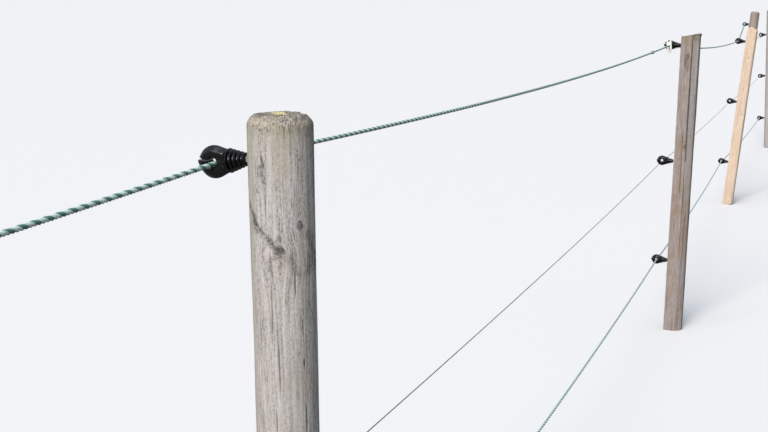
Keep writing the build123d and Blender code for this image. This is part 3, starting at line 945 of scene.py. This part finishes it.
# %% A split blank
def split_blank(name, outline, side_cuts, length, bands, fine_cuts, ridge, falls):
    """A post of split timber, upright, from just under the ground to its ridged top."""
    bpy.ops.object.select_all(action="DESELECT")
    bpy.ops.mesh.primitive_circle_add(vertices=len(outline), radius=1, fill_type="NGON")
    post = bpy.context.object
    post.name = name
    for corner, (x, y) in zip(post.data.vertices, outline):
        corner.co = (x, y, -buried)
    bpy.ops.object.mode_set(mode="EDIT")
    middles = [
        (Vector((*outline[k], -buried)) + Vector((*outline[(k + 1) % len(outline)], -buried))) / 2
        for k in range(len(outline))
    ]
    for middle, cuts in zip(middles, side_cuts):
        choose(post, "EDGE", lambda edge: ((edge.verts[0].co + edge.verts[1].co) / 2 - middle).length < mm)
        bpy.ops.mesh.subdivide(number_cuts=cuts)
    bpy.ops.mesh.select_all(action="SELECT")
    bpy.ops.mesh.normals_make_consistent(inside=False)
    bpy.ops.mesh.extrude_region_move(TRANSFORM_OT_translate={"value": (0, 0, length + buried)})
    bpy.ops.mesh.select_all(action="SELECT")
    bpy.ops.mesh.normals_make_consistent(inside=False)
    choose(post, "EDGE", runs_up)
    bpy.ops.mesh.subdivide(number_cuts=bands)
    choose(post, "EDGE", lambda edge: runs_up(edge) and middle_z(edge) > 0.5 * length)
    bpy.ops.mesh.subdivide(number_cuts=fine_cuts)
    half = max(y for x, y in outline)
    for side, fall in zip((1, -1), falls):
        bpy.ops.mesh.select_all(action="SELECT")
        bpy.ops.mesh.bisect(
            plane_co=(0, ridge, length), plane_no=(0, side * fall, side * (side * half - ridge)),
            use_fill=True, clear_outer=True,
        )
    choose(post, "FACE", lambda face: face.normal.z > 0.5)
    close_top((0, ridge, length - 8 * mm), 8)
    bpy.ops.object.mode_set(mode="OBJECT")
    return post


def split_outline(width, depth, cut):
    """The six corners of a split post's outline, with its front corner cut away."""
    x = width / 2
    y = depth / 2
    return (
        (-x, y), (-x, -y + cut[1]), (-x + cut[0], -y),
        (x - back_corner, -y), (x, -y + back_corner), (x, y),
    )


def wear_edges(skin, outline, depth):
    """Rounds the long edges by carving each one in a little, more in some places."""
    for x, y in outline:
        away = np.hypot(skin.rows[:, 0] - x, skin.rows[:, 1] - y)
        chips = 0.6 + 0.4 * noise(skin.rows / (18 * mm), skin.seed + 60)
        skin.lift -= depth * chips * np.exp(-(away / (2.6 * mm)) ** 2)


split_ridges = ((30, 420, 1.3), (9, 190, 0.8), (4.5, 90, 0.5), (2.4, 40, 0.22))

# %% The split post and the fresh stake
back_corner = 10 * mm
split_sizes = {
    "split": {"width": 70 * mm, "cut": (22 * mm, 26 * mm), "ridge": -30 * mm, "falls": (14 * mm, 3 * mm),
              "cuts": (14, 12, 14, 5, 18, 22)},
    "stake": {"width": 60 * mm, "cut": (12 * mm, 9 * mm), "ridge": 8 * mm, "falls": (14 * mm, 26 * mm),
              "cuts": (20, 5, 14, 5, 18, 18)},
}


def torn_top(skin, length, depth):
    """Leaves the sawn or split end of a post rough and fibrous."""
    cap = (1 - skin.side) * step_up(skin.z, 0.9 * length, 0.95 * length)
    skin.lift += cap * depth * noise(skin.rows / (5 * mm), skin.seed + 30)
    skin.lift -= 3.5 * depth * cap * step_up(noise(skin.rows / (11 * mm), skin.seed + 32), -0.1, 0.6)
    skin.mark("crack", 0.5 * cap * step_up(noise(skin.rows / (3 * mm), skin.seed + 31), 0.35, 0.7))


def dress_split(post, node, slot, seed, marks):
    """Makes, weathers and stands one split post."""
    sizes = split_sizes[post]
    depth = 2 * posts[post]["face"] * mm
    length = along_post(post, posts[post]["height"])
    outline = split_outline(sizes["width"], depth, sizes["cut"])
    timber = split_blank(
        f"{post}_timber", outline, sizes["cuts"], length, 99, 1, sizes["ridge"], sizes["falls"]
    )
    skin = Surface(timber, seed)
    marks(skin, length)
    roughen(skin, split_ridges)
    skin.lift -= 0.5 * mm * skin.side
    wear_edges(skin, outline, 2.2 * mm)
    torn_top(skin, length, 0.8 * mm)
    keep_seats(skin, seat_heights(post), depth / 2)
    skin.finish()
    finish_as(timber, slot)
    stand(timber, post, node)


def split_marks(skin, length):
    """The split post: a dark crack by a bleached cut face, two knots and a green top."""
    face = 34 * mm
    edge = 37 * mm
    add_knot(skin, face, 168, length - 95 * mm, 6 * mm, 9 * mm, 0.8, 1.2 * mm)
    add_knot(skin, face, 192, length - 480 * mm, 5 * mm, 8 * mm, 0.8, 0.8 * mm)
    upper_edge = ((199.6, 1301), (199.2, 1200), (200.2, 1060), (199.4, 900))
    add_crack(skin, edge, (*upper_edge, (200.0, 740)), 2.1 * mm, 4 * mm, 1.0)
    add_crack(skin, edge, ((199.8, 780), (199.2, 560), (200.0, 300)), 1.2 * mm, 2.5 * mm, 0.8)
    past_edge = np.degrees(wrapped(skin.turn - math.radians(200.5)))
    bleached = step_up(past_edge, 0, 2.5) * (1 - step_up(past_edge, 44, 50)) * skin.side
    bleached *= 1 - step_up(skin.z, length - 34 * mm, length - 14 * mm)
    skin.mark("aged", 0.75 * bleached * step_up(skin.z, 0.35 * length, 0.75 * length))
    add_stain(skin, edge, (*upper_edge, (200.0, 760)), 4.5 * mm, 0.9)
    add_stain(skin, edge, ((172, 1215), (170, 1190), (173, 1150)), 7 * mm, 0.45)
    add_crack(skin, face, ((172, 900), (171, 760), (173, 610)), 1.2 * mm, 2.5 * mm, 0.9)
    add_drying_cracks(skin, face, length, 22, 1.4 * mm)
    top = step_up(skin.z, length - 60 * mm, length - 5 * mm)
    skin.mark("green", 0.85 * top * step_up(noise(skin.rows / (10 * mm), 91), -0.5, 0.3))


def stake_marks(skin, length):
    """The fresh stake: a few small knots and fine cracks."""
    face = 30 * mm
    for turn, height in ((178, 0.83), (200, 0.52), (30, 0.66), (-60, 0.35)):
        add_knot(skin, face, turn, height * length, 4 * mm, 5 * mm, 0.8, 0.5 * mm)
    add_drying_cracks(skin, face, length, 10, 0.9 * mm)


dress_split("split", "split_post", "split_wood", 67, split_marks)
dress_split("stake", "fresh_stake", "fresh_wood", 83, stake_marks)

# %% [markdown]
# ## Ring insulators
#
# Each strand runs through a ring of glossy black plastic, moulded in one piece with
# a ribbed body that keeps rain from bridging it, and screwed into the post. The body
# is turned: a small disc is extruded along its axis, and scaled a little at each
# step. The ring is a bevelled section spun round the eye, and stops short of a full
# turn, which leaves the slit that the rope was slipped in through.

# %% Black plastic
def black_plastic():
    """Glossy black plastic with a little dust on what faces up and fine scratches."""
    made = Finish("black_plastic")
    place = made.place()
    grime = made.noise(place, 260, 4, 0.6)
    scratch = made.noise(made.stretched(place, (1, 0.2, 1)), 1900, 2)
    faces = made.add("ShaderNodeNewGeometry").outputs["Normal"]
    upward = made.add("ShaderNodeSeparateXYZ")
    made.link(faces, upward.inputs[0])
    dust = made.sum("MULTIPLY", made.spread(upward.outputs["Z"], 0.1, 1.0, 0.05, 1.0),
                    made.spread(grime, 0.50, 0.74, 0.0, 0.12))
    made.link(made.mix(dust, (0.003, 0.003, 0.0035), (0.16, 0.15, 0.14)), made.shader.inputs["Base Color"])
    made.link(made.spread(grime, 0.35, 0.65, 0.20, 0.36), made.shader.inputs["Roughness"])
    made.shader.inputs["Specular IOR Level"].default_value = 0.5
    made.link(made.bump(scratch, 0.05 * mm, 0.35), made.shader.inputs["Normal"])
    return made.material


finishes["black_plastic"] = black_plastic()

# %% The insulator's body
body_start = 3.2 * mm
rib_pitch = 5.5 * mm
rib_end = 2.7 * mm
line_fitting = {"reach": ring_reach, "ring": 21.2 * mm, "eye": 6.5 * mm, "thick": 18 * mm, "ribs": 5,
                "lip": 2.6 * mm}
worn_fitting = dict(line_fitting, ring=20.7 * mm, lip=0)
old_fitting = {"reach": old_ring_reach, "ring": 14 * mm, "eye": 6 * mm, "thick": 12 * mm, "ribs": 3,
               "lip": 1.6 * mm}
neck_share = 0.50


def rib_tip(rib):
    """How far out a rib's tip is. The ribs grow towards the ring."""
    return (8.8 + 1.7 * rib) * mm


def body_sections(fitting):
    """Places along the insulator's axis, with the body's radius at each of them."""
    sections = [(body_start, 5.0 * mm), (body_start + 0.4 * mm, 5.6 * mm)]
    for rib in range(fitting["ribs"]):
        core = (5.6 + 1.2 * rib) * mm
        tip = rib_tip(rib)
        low = body_start + rib * rib_pitch
        sections += [
            (low + 0.7 * mm, core + 0.2 * mm), (low + 1.0 * mm, core + 0.8 * mm),
            (low + 1.2 * mm, tip - 0.5 * mm), (low + 1.5 * mm, tip - 0.05 * mm),
            (low + 2.3 * mm, tip), (low + rib_end, tip - 0.3 * mm),
            (low + 3.0 * mm, core + 1.6 * mm), (low + 3.7 * mm, core + 1.2 * mm),
            (low + rib_pitch, core + 1.2 * mm),
        ]
    del sections[-3:]
    low = body_start + fitting["ribs"] * rib_pitch
    end = fitting["reach"] - (fitting["ring"] + fitting["eye"]) / 2
    neck = neck_share * fitting["thick"]
    tip = sections[-1][1]
    for past, share in ((-1.9, 0.25), (-0.4, 0.40), (1.6, 0.64)):
        sections.append((low + past * mm, (1 - share) * tip + share * neck))
    sections += [(end - 0.5 * mm, neck), (end, neck - 0.5 * mm)]
    return sections


def make_body(fitting):
    """The ribbed body and its neck, turned about the Y axis."""
    sections = body_sections(fitting)
    bpy.ops.object.select_all(action="DESELECT")
    bpy.ops.mesh.primitive_circle_add(
        vertices=40, radius=sections[0][1], fill_type="NGON",
        location=(0, sections[0][0], 0), rotation=(math.pi / 2, 0, 0),
    )
    body = bpy.context.object
    bpy.ops.object.transform_apply(location=True, rotation=True)
    bpy.ops.object.mode_set(mode="EDIT")
    bpy.ops.mesh.select_all(action="SELECT")
    for (was_y, was), (now_y, now) in zip(sections, sections[1:]):
        bpy.ops.mesh.extrude_region_move(TRANSFORM_OT_translate={"value": (0, now_y - was_y, 0)})
        bpy.ops.transform.resize(value=(now / was, 1, now / was), center_override=(0, now_y, 0))
    bpy.ops.mesh.select_all(action="SELECT")
    bpy.ops.mesh.normals_make_consistent(inside=False)
    bpy.ops.object.mode_set(mode="OBJECT")
    return body


# %% [markdown]
# The ring's section has six sides: a narrow rim, two broad bevels, two flat faces
# and the eye's wall. Each corner is rounded, and a point just past the rounding
# keeps the broad sides flat, so that they catch the light as facets. The spin
# leaves a gap that narrows towards the eye. The slit of the real ring has parallel
# walls, so every corner is turned a little, by its own distance from the middle.
# Beside the slit the rim swells into two small lips that guide the rope in. On the
# far end post's rings these have worn away. Towards the neck the rim runs out in two
# low shoulders, which reach the last rib along straight lines that touch the circle.

# %% The ring
slit_turn = math.radians(96)
slit_width = 3.2 * mm
spin_gap = math.radians(10)
spin_steps = 60
bevel_share = 0.36
rim_share = 0.995
lip_spread = 0.27
corner_rounding = 1.3 * mm
shoulder_drop = 2 * mm


def rounded_outline(corners, rounding):
    """An outline whose corners are rounded, with the sides between them left flat."""
    outline = []
    count = len(corners)
    for k in range(count):
        here = Vector(corners[k])
        before = Vector(corners[k - 1]) - here
        after = Vector(corners[(k + 1) % count]) - here
        size = min(rounding, 0.35 * before.length, 0.35 * after.length)
        before = before.normalized() * size
        after = after.normalized() * size
        outline += [here + 1.3 * before, here + before, here + (before + after) * 0.27]
        outline += [here + after, here + 1.3 * after]
    return outline


def ring_outline(fitting):
    """The ring's section: how far across it and how far out each corner is."""
    half = fitting["thick"] / 2
    rim = rim_share * fitting["ring"]
    bevel = bevel_share * fitting["thick"]
    eye = fitting["eye"]
    edge = 1.4 * mm
    right = ((half - bevel, rim), (half, rim - bevel), (half, eye + edge), (half - edge, eye))
    return rounded_outline(right + tuple((-x, out) for x, out in right[::-1]), corner_rounding)


def shoulder_reach(fitting, turn):
    """How far out the rim is, with its shoulders, at an angle from the neck."""
    ring = fitting["ring"]
    last = fitting["ribs"] - 1
    back = fitting["reach"] - body_start - last * rib_pitch - rib_end
    side = rib_tip(last) - shoulder_drop
    corner = math.atan2(side, back)
    tangent = corner + math.acos(ring / math.hypot(back, side))
    slope = ring / np.cos(np.clip(tangent - turn, 0, None))
    return np.where(turn < corner, back / np.cos(np.minimum(turn, corner)), slope)


def shape_rim(ring, fitting):
    """Gives the slit parallel walls, and the rim its lips and shoulders."""
    reach = fitting["reach"]
    rows = corners_of(ring)
    turn = np.arctan2(rows[:, 1] - reach, -rows[:, 2])
    out = np.hypot(rows[:, 1] - reach, rows[:, 2])
    from_slit = wrapped(turn - slit_turn)
    wall = np.arcsin(slit_width / 2 / out)
    share = (math.pi - np.abs(from_slit)) / (math.pi - spin_gap / 2)
    turn = slit_turn + np.sign(from_slit) * (math.pi - share * (math.pi - wall))
    rim = step_up(out, 0.72 * fitting["ring"], rim_share * fitting["ring"])
    out += fitting["lip"] * rim * np.exp(-(from_slit / lip_spread) ** 2)
    from_neck = np.abs(wrapped(turn + math.pi / 2))
    outward = step_up(out, 0.45 * fitting["ring"], 0.66 * fitting["ring"])
    out += outward * (shoulder_reach(fitting, from_neck) - fitting["ring"])
    rows[:, 1] = reach + out * np.sin(turn)
    rows[:, 2] = -out * np.cos(turn)
    move_corners(ring, rows)


def make_ring(fitting):
    """The ring round the eye, open at its slit."""
    reach = fitting["reach"]
    outline = ring_outline(fitting)
    bpy.ops.object.select_all(action="DESELECT")
    bpy.ops.mesh.primitive_circle_add(vertices=len(outline), radius=1, fill_type="NOTHING")
    ring = bpy.context.object
    start = slit_turn + spin_gap / 2
    for corner, (x, out) in zip(ring.data.vertices, outline):
        corner.co = (x, reach + out * math.sin(start), -out * math.cos(start))
    bpy.ops.object.mode_set(mode="EDIT")
    bpy.ops.mesh.select_all(action="SELECT")
    bpy.ops.mesh.spin(
        steps=spin_steps, angle=2 * math.pi - spin_gap, center=(0, reach, 0), axis=(1, 0, 0)
    )
    bpy.ops.mesh.select_all(action="SELECT")
    bpy.ops.mesh.fill_holes(sides=0)
    choose(ring, "FACE", lambda face: len(face.verts) > 4)
    bpy.ops.mesh.inset(thickness=0.5 * mm, depth=0.3 * mm)
    bpy.ops.mesh.select_all(action="SELECT")
    bpy.ops.mesh.normals_make_consistent(inside=False)
    bpy.ops.object.mode_set(mode="OBJECT")
    shape_rim(ring, fitting)
    return ring


def make_pattern(name, fitting):
    """One whole insulator, its axis along Y and its seat at the middle of things."""
    body = make_body(fitting)
    pattern = make_ring(fitting)
    pick(pattern)
    body.select_set(True)
    bpy.ops.object.join()
    pattern.name = name
    bpy.ops.object.shade_smooth_by_angle(angle=math.radians(50))
    print(name, "has", triangles(pattern), "triangles")
    return pattern


# %% The sixteen insulators
line_pattern = make_pattern("line_insulator", line_fitting)
worn_pattern = make_pattern("worn_insulator", worn_fitting)
old_pattern = make_pattern("old_insulator", old_fitting)


def place_insulator(pattern, post, index):
    """A copy of an insulator on its seat."""
    copied = pattern.data.copy()
    copied.transform(seat_place(post, index))
    piece = bpy.data.objects.new(f"{post}_{ring_levels[index]}_ring", copied)
    bpy.context.scene.collection.objects.link(piece)
    finish_as(piece, "black_plastic")
    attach(piece, "root")
    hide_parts(f"{post}_{ring_levels[index]}_insulator")


line_posts = ("near_end", "front", "split", "stake", "far_end")
for post in line_posts:
    for index in range(3):
        place_insulator(worn_pattern if post == "far_end" else line_pattern, post, index)
place_insulator(old_pattern, "old", 0)
for pattern in (line_pattern, worn_pattern, old_pattern):
    bpy.data.objects.remove(pattern)

# %% [markdown]
# ## Rope
#
# The top and bottom strands are twisted rope, seven millimetres thick: three yarns
# laid round each other and packed tight. One is green, and the grooves on both sides
# of it carry the same green as painted shade between the yarns. The middle strand is
# only a thin dark wire, two wires twisted together. All hang between the rings in a
# shallow curve, so each line is a smooth spline that a few points in each bay steer.
# A rope's shape is a lobed section that turns as it follows that line, with so many
# rings of corners to each turn.

# %% The finishes of the rope
def rope_finish(name, colour, shade):
    """Plastic yarn: fine threads along the strand, a soft sheen and some dirt."""
    made = Finish(name)
    yarn = made.stored("yarn", vector=True)
    thread = made.noise(made.stretched(yarn, (1, 1, 0.5)), 3.2, 2, 0.5)
    dirt = made.noise(made.place(), 60, 4, 0.6)
    base = made.mix(made.spread(thread, 0.35, 0.65), shade, colour)
    base = made.mix(made.spread(dirt, 0.52, 0.75, 0, 0.25), base, (0.22, 0.24, 0.19))
    made.link(base, made.shader.inputs["Base Color"])
    made.shader.inputs["Roughness"].default_value = 0.55
    made.shader.inputs["Sheen Weight"].default_value = 0.15
    made.link(made.bump(thread, 0.15 * mm, 0.4), made.shader.inputs["Normal"])
    return made.material


rope_green = rope_finish("rope_green", (0.080, 0.225, 0.190), (0.038, 0.125, 0.105))
rope_white = rope_finish("twisted_rope", (0.62, 0.77, 0.71), (0.45, 0.59, 0.54))


def wire_finish():
    """Old steel wire, dark and dull with a few paler rubbed places."""
    made = Finish("dark_wire")
    rubbed = made.noise(made.place(), 90, 4, 0.6)
    base = made.mix(made.spread(rubbed, 0.55, 0.75, 0, 0.6), (0.045, 0.048, 0.042), (0.17, 0.17, 0.15))
    made.link(base, made.shader.inputs["Base Color"])
    made.shader.inputs["Metallic"].default_value = 0.4
    made.shader.inputs["Roughness"].default_value = 0.6
    return made.material


dark_wire = wire_finish()

# %% A rope along a line
rope_kind = {
    "radius": 3.5 * mm, "lobes": 3, "turns": (-60, -36, 0, 36), "valley": 1.75 * mm, "lay": 19 * mm,
    "packed": 0.42, "rings": 9, "slot": "twisted_rope", "finishes": (rope_white, rope_green),
}
wire_kind = {
    "radius": 1.5 * mm, "lobes": 2, "turns": (-90, -45, 45), "valley": 0.5 * mm, "lay": 14 * mm,
    "packed": 0, "rings": 7, "slot": "dark_wire", "finishes": (dark_wire,),
}


yarn_twist = 2.2
yarn_length = 4 * mm


def lobed_section(kind):
    """Angles and radii round the section: a valley, then points on the lobe after it."""
    lobes = kind["lobes"]
    yarn_radius = kind["radius"] * math.sin(math.pi / lobes) / (1 + math.sin(math.pi / lobes))
    yarn_reach = kind["radius"] - yarn_radius
    section = []
    for lobe in range(lobes):
        for turn in kind["turns"]:
            angle = math.radians(turn)
            across = yarn_reach * math.sin(angle)
            radius = kind["valley"]
            if turn > -180 / lobes:
                radius = yarn_reach * math.cos(angle) + math.sqrt(max(yarn_radius ** 2 - across ** 2, 0))
            radius += kind["packed"] * (kind["radius"] - radius)
            section.append((math.radians(360 / lobes * lobe + turn), radius))
    return section


def line_points(name, points):
    """The smooth line that a few points steer, read as closely spaced places."""
    curve = bpy.data.curves.new(name, "CURVE")
    curve.dimensions = "3D"
    spline = curve.splines.new("NURBS")
    spline.points.add(len(points) - 1)
    for mark, point in zip(spline.points, points):
        mark.co = (*point, 1)
    spline.order_u = 3
    spline.use_endpoint_u = True
    spline.resolution_u = 24
    guide = bpy.data.objects.new(name, curve)
    bpy.context.scene.collection.objects.link(guide)
    line = bpy.data.meshes.new_from_object(guide)
    rows = np.array([corner.co for corner in line.vertices])
    bpy.data.objects.remove(guide)
    bpy.data.meshes.remove(line)
    return rows


def even_places(rows, gap):
    """The same line, as places that are evenly spaced along it."""
    steps = np.linalg.norm(np.diff(rows, axis=0), axis=1)
    keep = np.concatenate([[True], steps > 1e-7])
    rows = rows[keep]
    steps = np.linalg.norm(np.diff(rows, axis=0), axis=1)
    along = np.concatenate([[0], np.cumsum(steps)])
    count = int(round(along[-1] / gap))
    marks = np.linspace(0, along[-1], count + 1)
    return np.column_stack([np.interp(marks, along, rows[:, k]) for k in range(3)]), marks


def sides_of(places):
    """Two directions across the line at each place, which don't twist about it."""
    run = np.gradient(places, axis=0)
    run /= np.linalg.norm(run, axis=1)[:, None]
    first = np.zeros_like(run)
    side = np.cross(run[0], (0.0, 1.0, 0.0))
    side /= np.linalg.norm(side)
    for k in range(len(run)):
        side = side - run[k] * (side @ run[k])
        side /= np.linalg.norm(side)
        first[k] = side
    return first, np.cross(run, first)


def rope_piece(name, points, kind):
    """A twisted rope along the line that the points steer, and the places along it."""
    lay = kind["lay"]
    places, marks = even_places(line_points(name, points), lay / kind["rings"])
    first, second = sides_of(places)
    section = lobed_section(kind)
    count = len(section)
    rows = np.empty((len(places), count, 3))
    yarn = np.empty((len(places), count, 3))
    for k, (turn, radius) in enumerate(section):
        angle = turn + 2 * math.pi * marks / lay
        rows[:, k] = places + radius * (np.cos(angle)[:, None] * first + np.sin(angle)[:, None] * second)
        yarn[:, k, 0] = yarn_twist * math.cos(turn)
        yarn[:, k, 1] = yarn_twist * math.sin(turn)
        yarn[:, k, 2] = marks / yarn_length
    ring = np.arange(len(places) - 1)[:, None] * count
    here = np.arange(count)[None, :]
    there = (here + 1) % count
    quads = np.stack([ring + there, ring + count + there, ring + count + here, ring + here], axis=-1)
    faces = [tuple(quad) for quad in quads.reshape(-1, 4).tolist()]
    faces.append(tuple(range(count - 1, -1, -1)))
    faces.append(tuple(range((len(places) - 1) * count, len(places) * count)))
    mesh = bpy.data.meshes.new(name)
    mesh.from_pydata(rows.reshape(-1, 3).tolist(), [], faces)
    piece = bpy.data.objects.new(name, mesh)
    bpy.context.scene.collection.objects.link(piece)
    note(piece, "yarn", yarn.reshape(-1, 3))
    for finish in kind["finishes"]:
        mesh.materials.append(finish)
    if len(kind["finishes"]) > 1:
        # The green material covers the green yarn and the groove flanks beside it, where the green is
        # painted shade between the yarns.
        green_and_groove_shade = np.zeros((len(places) - 1, count), int)
        green_and_groove_shade[:, :len(kind["turns"]) + 1] = 1
        green_and_groove_shade[:, -1] = 1
        mesh.polygons.foreach_set("material_index", np.concatenate([green_and_groove_shade.ravel(), [0, 0]]))
    pick(piece)
    bpy.ops.object.shade_smooth_by_angle(angle=math.radians(55))
    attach(piece, "root")
    print(name, "is", round(marks[-1], 3), "m long, with", triangles(piece), "triangles")
    return piece, places


# %% [markdown]
# Each bay hangs between two rings. Near a ring the rope is straight, and from a
# tenth of the way to mid-bay it curves, so a bay is steered by two points close to
# its rings and a few in between. At both ends of the fence a strand passes round
# its ring, comes back under itself and ends in a clamp.

# %% The three strands
rope_gap = 0.7 * mm
end_clamp = 78 * mm
clamp_half = 9 * mm
strands = {
    "top": {"kind": rope_kind, "node": "top_rope", "sags": (35, 22, 24, 26)},
    "middle": {"kind": wire_kind, "node": "middle_wire", "sags": (16, 14, 12, 12)},
    "bottom": {"kind": rope_kind, "node": "bottom_rope", "sags": (26, 28, 22, 24)},
}
straight_share = 0.1
bay_shares = (straight_share, 0.25, 0.45, 0.7, 1.0)
ring_step = 20 * mm


def clamp_step(kind):
    """How far apart the two runs of a strand lie in a clamp."""
    return 2 * kind["radius"] + 2.2 * mm


def rest_at(post, index, kind, eye=line_fitting["eye"]):
    """Where a strand's middle line lies in a ring, near the bottom of its eye."""
    return ring_centre(post, index) - Vector((0, 0, eye - kind["radius"] - rope_gap))


def bay_corner(first, second, sag):
    """The point under mid-bay towards which a strand leaves both rings."""
    return (first + second) / 2 - Vector((0, 0, 2 * sag))


def hanging_points(first, second, sag):
    """The points that steer one bay, from just after a ring to just before the next."""
    corner = bay_corner(first, second, sag)
    half = (corner - first).length
    shares = (ring_step / half,) + bay_shares
    near = []
    far = []
    for share in shares:
        rise = sag * max(0, share - straight_share) ** 2 / (1 - straight_share)
        near.append(first.lerp(corner, share) + Vector((0, 0, rise)))
        far.append(second.lerp(corner, share) + Vector((0, 0, rise)))
    return near + far[-2::-1]


def end_loop(rest, towards, kind):
    """From a strand's cut end, through its clamp and round the end ring."""
    out = (towards - rest).normalized()
    down = Vector((0, 0, -1))
    step = clamp_step(kind)
    under = line_fitting["ring"] + kind["radius"] + rope_gap
    under -= line_fitting["eye"] - kind["radius"] - rope_gap
    beyond = line_fitting["thick"] / 2 + kind["radius"] + rope_gap + 3 * mm
    inner = end_clamp - clamp_half - 6 * mm
    outer = end_clamp + clamp_half + 16 * mm
    places = (
        (outer, step), (end_clamp, step), (inner, step),
        (14 * mm, under), (-beyond, under), (-beyond, 0),
    )
    return [rest + out * reach + down * drop for reach, drop in places]


strand_places = {}
for index, level in enumerate(ring_levels):
    kind = strands[level]["kind"]
    rests = [rest_at(post, index, kind) for post in line_posts]
    sags = [sag * mm for sag in strands[level]["sags"]]
    points = end_loop(rests[0], bay_corner(rests[0], rests[1], sags[0]), kind)
    for bay, sag in enumerate(sags):
        points.append(rests[bay])
        points += hanging_points(rests[bay], rests[bay + 1], sag)
    points.append(rests[-1])
    points += end_loop(rests[-1], bay_corner(rests[-2], rests[-1], sags[-1]), kind)[::-1]
    strand, strand_places[level] = rope_piece(f"{level}_strand", points, kind)
    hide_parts(strands[level]["node"])

# %% [markdown]
# The old post's own ring was never taken off. A short piece of rope hangs from it to
# the top strand, with a clamp at either end. Its corners are tight, and a spline
# rounds them as tightly as the points beside each corner are close to it.

# %% The short tie
tie_step = 36 * mm
tie_loop_half = 15 * mm
tie_corner = 14 * mm


def tie_leg(x, inwards):
    """The lower end of a leg of the tie: its cut end, its clamp and its first corner."""
    strand = strand_places["top"]
    body = np.arange(200, len(strand) - 200)
    spot = body[np.argmin(np.abs(strand[body, 0] - x))]
    run = Vector(strand[spot + 1] - strand[spot - 1]).normalized() * inwards
    middle = Vector(strand[spot]) + Vector((0, 0, clamp_step(rope_kind)))
    return middle - run * (clamp_half + 3 * mm), middle, middle + run * (clamp_half + 9 * mm)


old_rest = rest_at("old", 0, rope_kind, old_fitting["eye"])
loop = [old_rest - Vector((tie_loop_half, 0, 0)), old_rest, old_rest + Vector((tie_loop_half, 0, 0))]
near_leg = tie_leg(old_rest.x - tie_step, 1)
far_leg = tie_leg(old_rest.x + tie_step, -1)
near_up = (loop[0] - near_leg[2]).normalized() * tie_corner
far_up = (loop[2] - far_leg[2]).normalized() * tie_corner
tie_points = [
    *near_leg, near_leg[2] + near_up, loop[0] - near_up, *loop, loop[2] - far_up, far_leg[2] + far_up,
    *far_leg[::-1],
]
tie = rope_piece("tie", tie_points, rope_kind)[0]
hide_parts("tie_rope")

# %% [markdown]
# ## Metal and the anchor plate
#
# The clamps, the sleeve and the screws keep their measured shapes, which are right
# as they are. What they need is the look of zinc that has dulled in the rain, and
# the plate in front of the split post's ring needs a pale, faintly stained surface.

# %% Zinc and the plate's finish
def zinc(name, base, rough_low, rough_high):
    """Dull zinc: a mottled grey metal with white bloom and a little dirt."""
    made = Finish(name)
    place = made.place()
    mottle = made.noise(place, 180, 5, 0.65)
    bloom = made.noise(place, 45, 4, 0.6)
    colour = made.mix(made.spread(mottle, 0.35, 0.65), tuple(0.72 * part for part in base), base)
    colour = made.mix(made.spread(bloom, 0.55, 0.72, 0, 0.5), colour, (0.62, 0.62, 0.60))
    made.link(colour, made.shader.inputs["Base Color"])
    made.link(made.spread(mottle, 0.3, 0.7, rough_low, rough_high), made.shader.inputs["Roughness"])
    made.shader.inputs["Metallic"].default_value = 0.85
    made.link(made.bump(mottle, 0.1 * mm, 0.5), made.shader.inputs["Normal"])
    return made.material


def pale_plate():
    """A pale coated plate with a few grey stains."""
    made = Finish("bright_plate")
    place = made.place()
    stain = made.noise(place, 120, 5, 0.6)
    colour = made.mix(made.spread(stain, 0.50, 0.75, 0, 0.6), (0.80, 0.79, 0.74), (0.45, 0.44, 0.40))
    made.link(colour, made.shader.inputs["Base Color"])
    made.link(made.spread(stain, 0.3, 0.7, 0.35, 0.6), made.shader.inputs["Roughness"])
    made.link(made.bump(stain, 0.1 * mm, 0.4), made.shader.inputs["Normal"])
    return made.material


finishes["zinc_screw"] = zinc("zinc_screw", (0.60, 0.59, 0.56), 0.35, 0.6)
finishes["zinc_clamp"] = zinc("zinc_clamp", (0.52, 0.53, 0.54), 0.4, 0.65)
finishes["bright_plate"] = pale_plate()
kept_nodes = {
    "zinc_screw": ("near_end_screws", "front_screws", "split_screws", "stake_screws",
                   "far_end_screws", "old_screw"),
    "zinc_clamp": ("near_end_clamps", "far_end_clamps", "tie_clamps", "rope_sleeve"),
    "bright_plate": ("anchor_plate",),
}
for slot, nodes in kept_nodes.items():
    for node in nodes:
        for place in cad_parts[node].material_slots:
            place.material = finishes[slot]
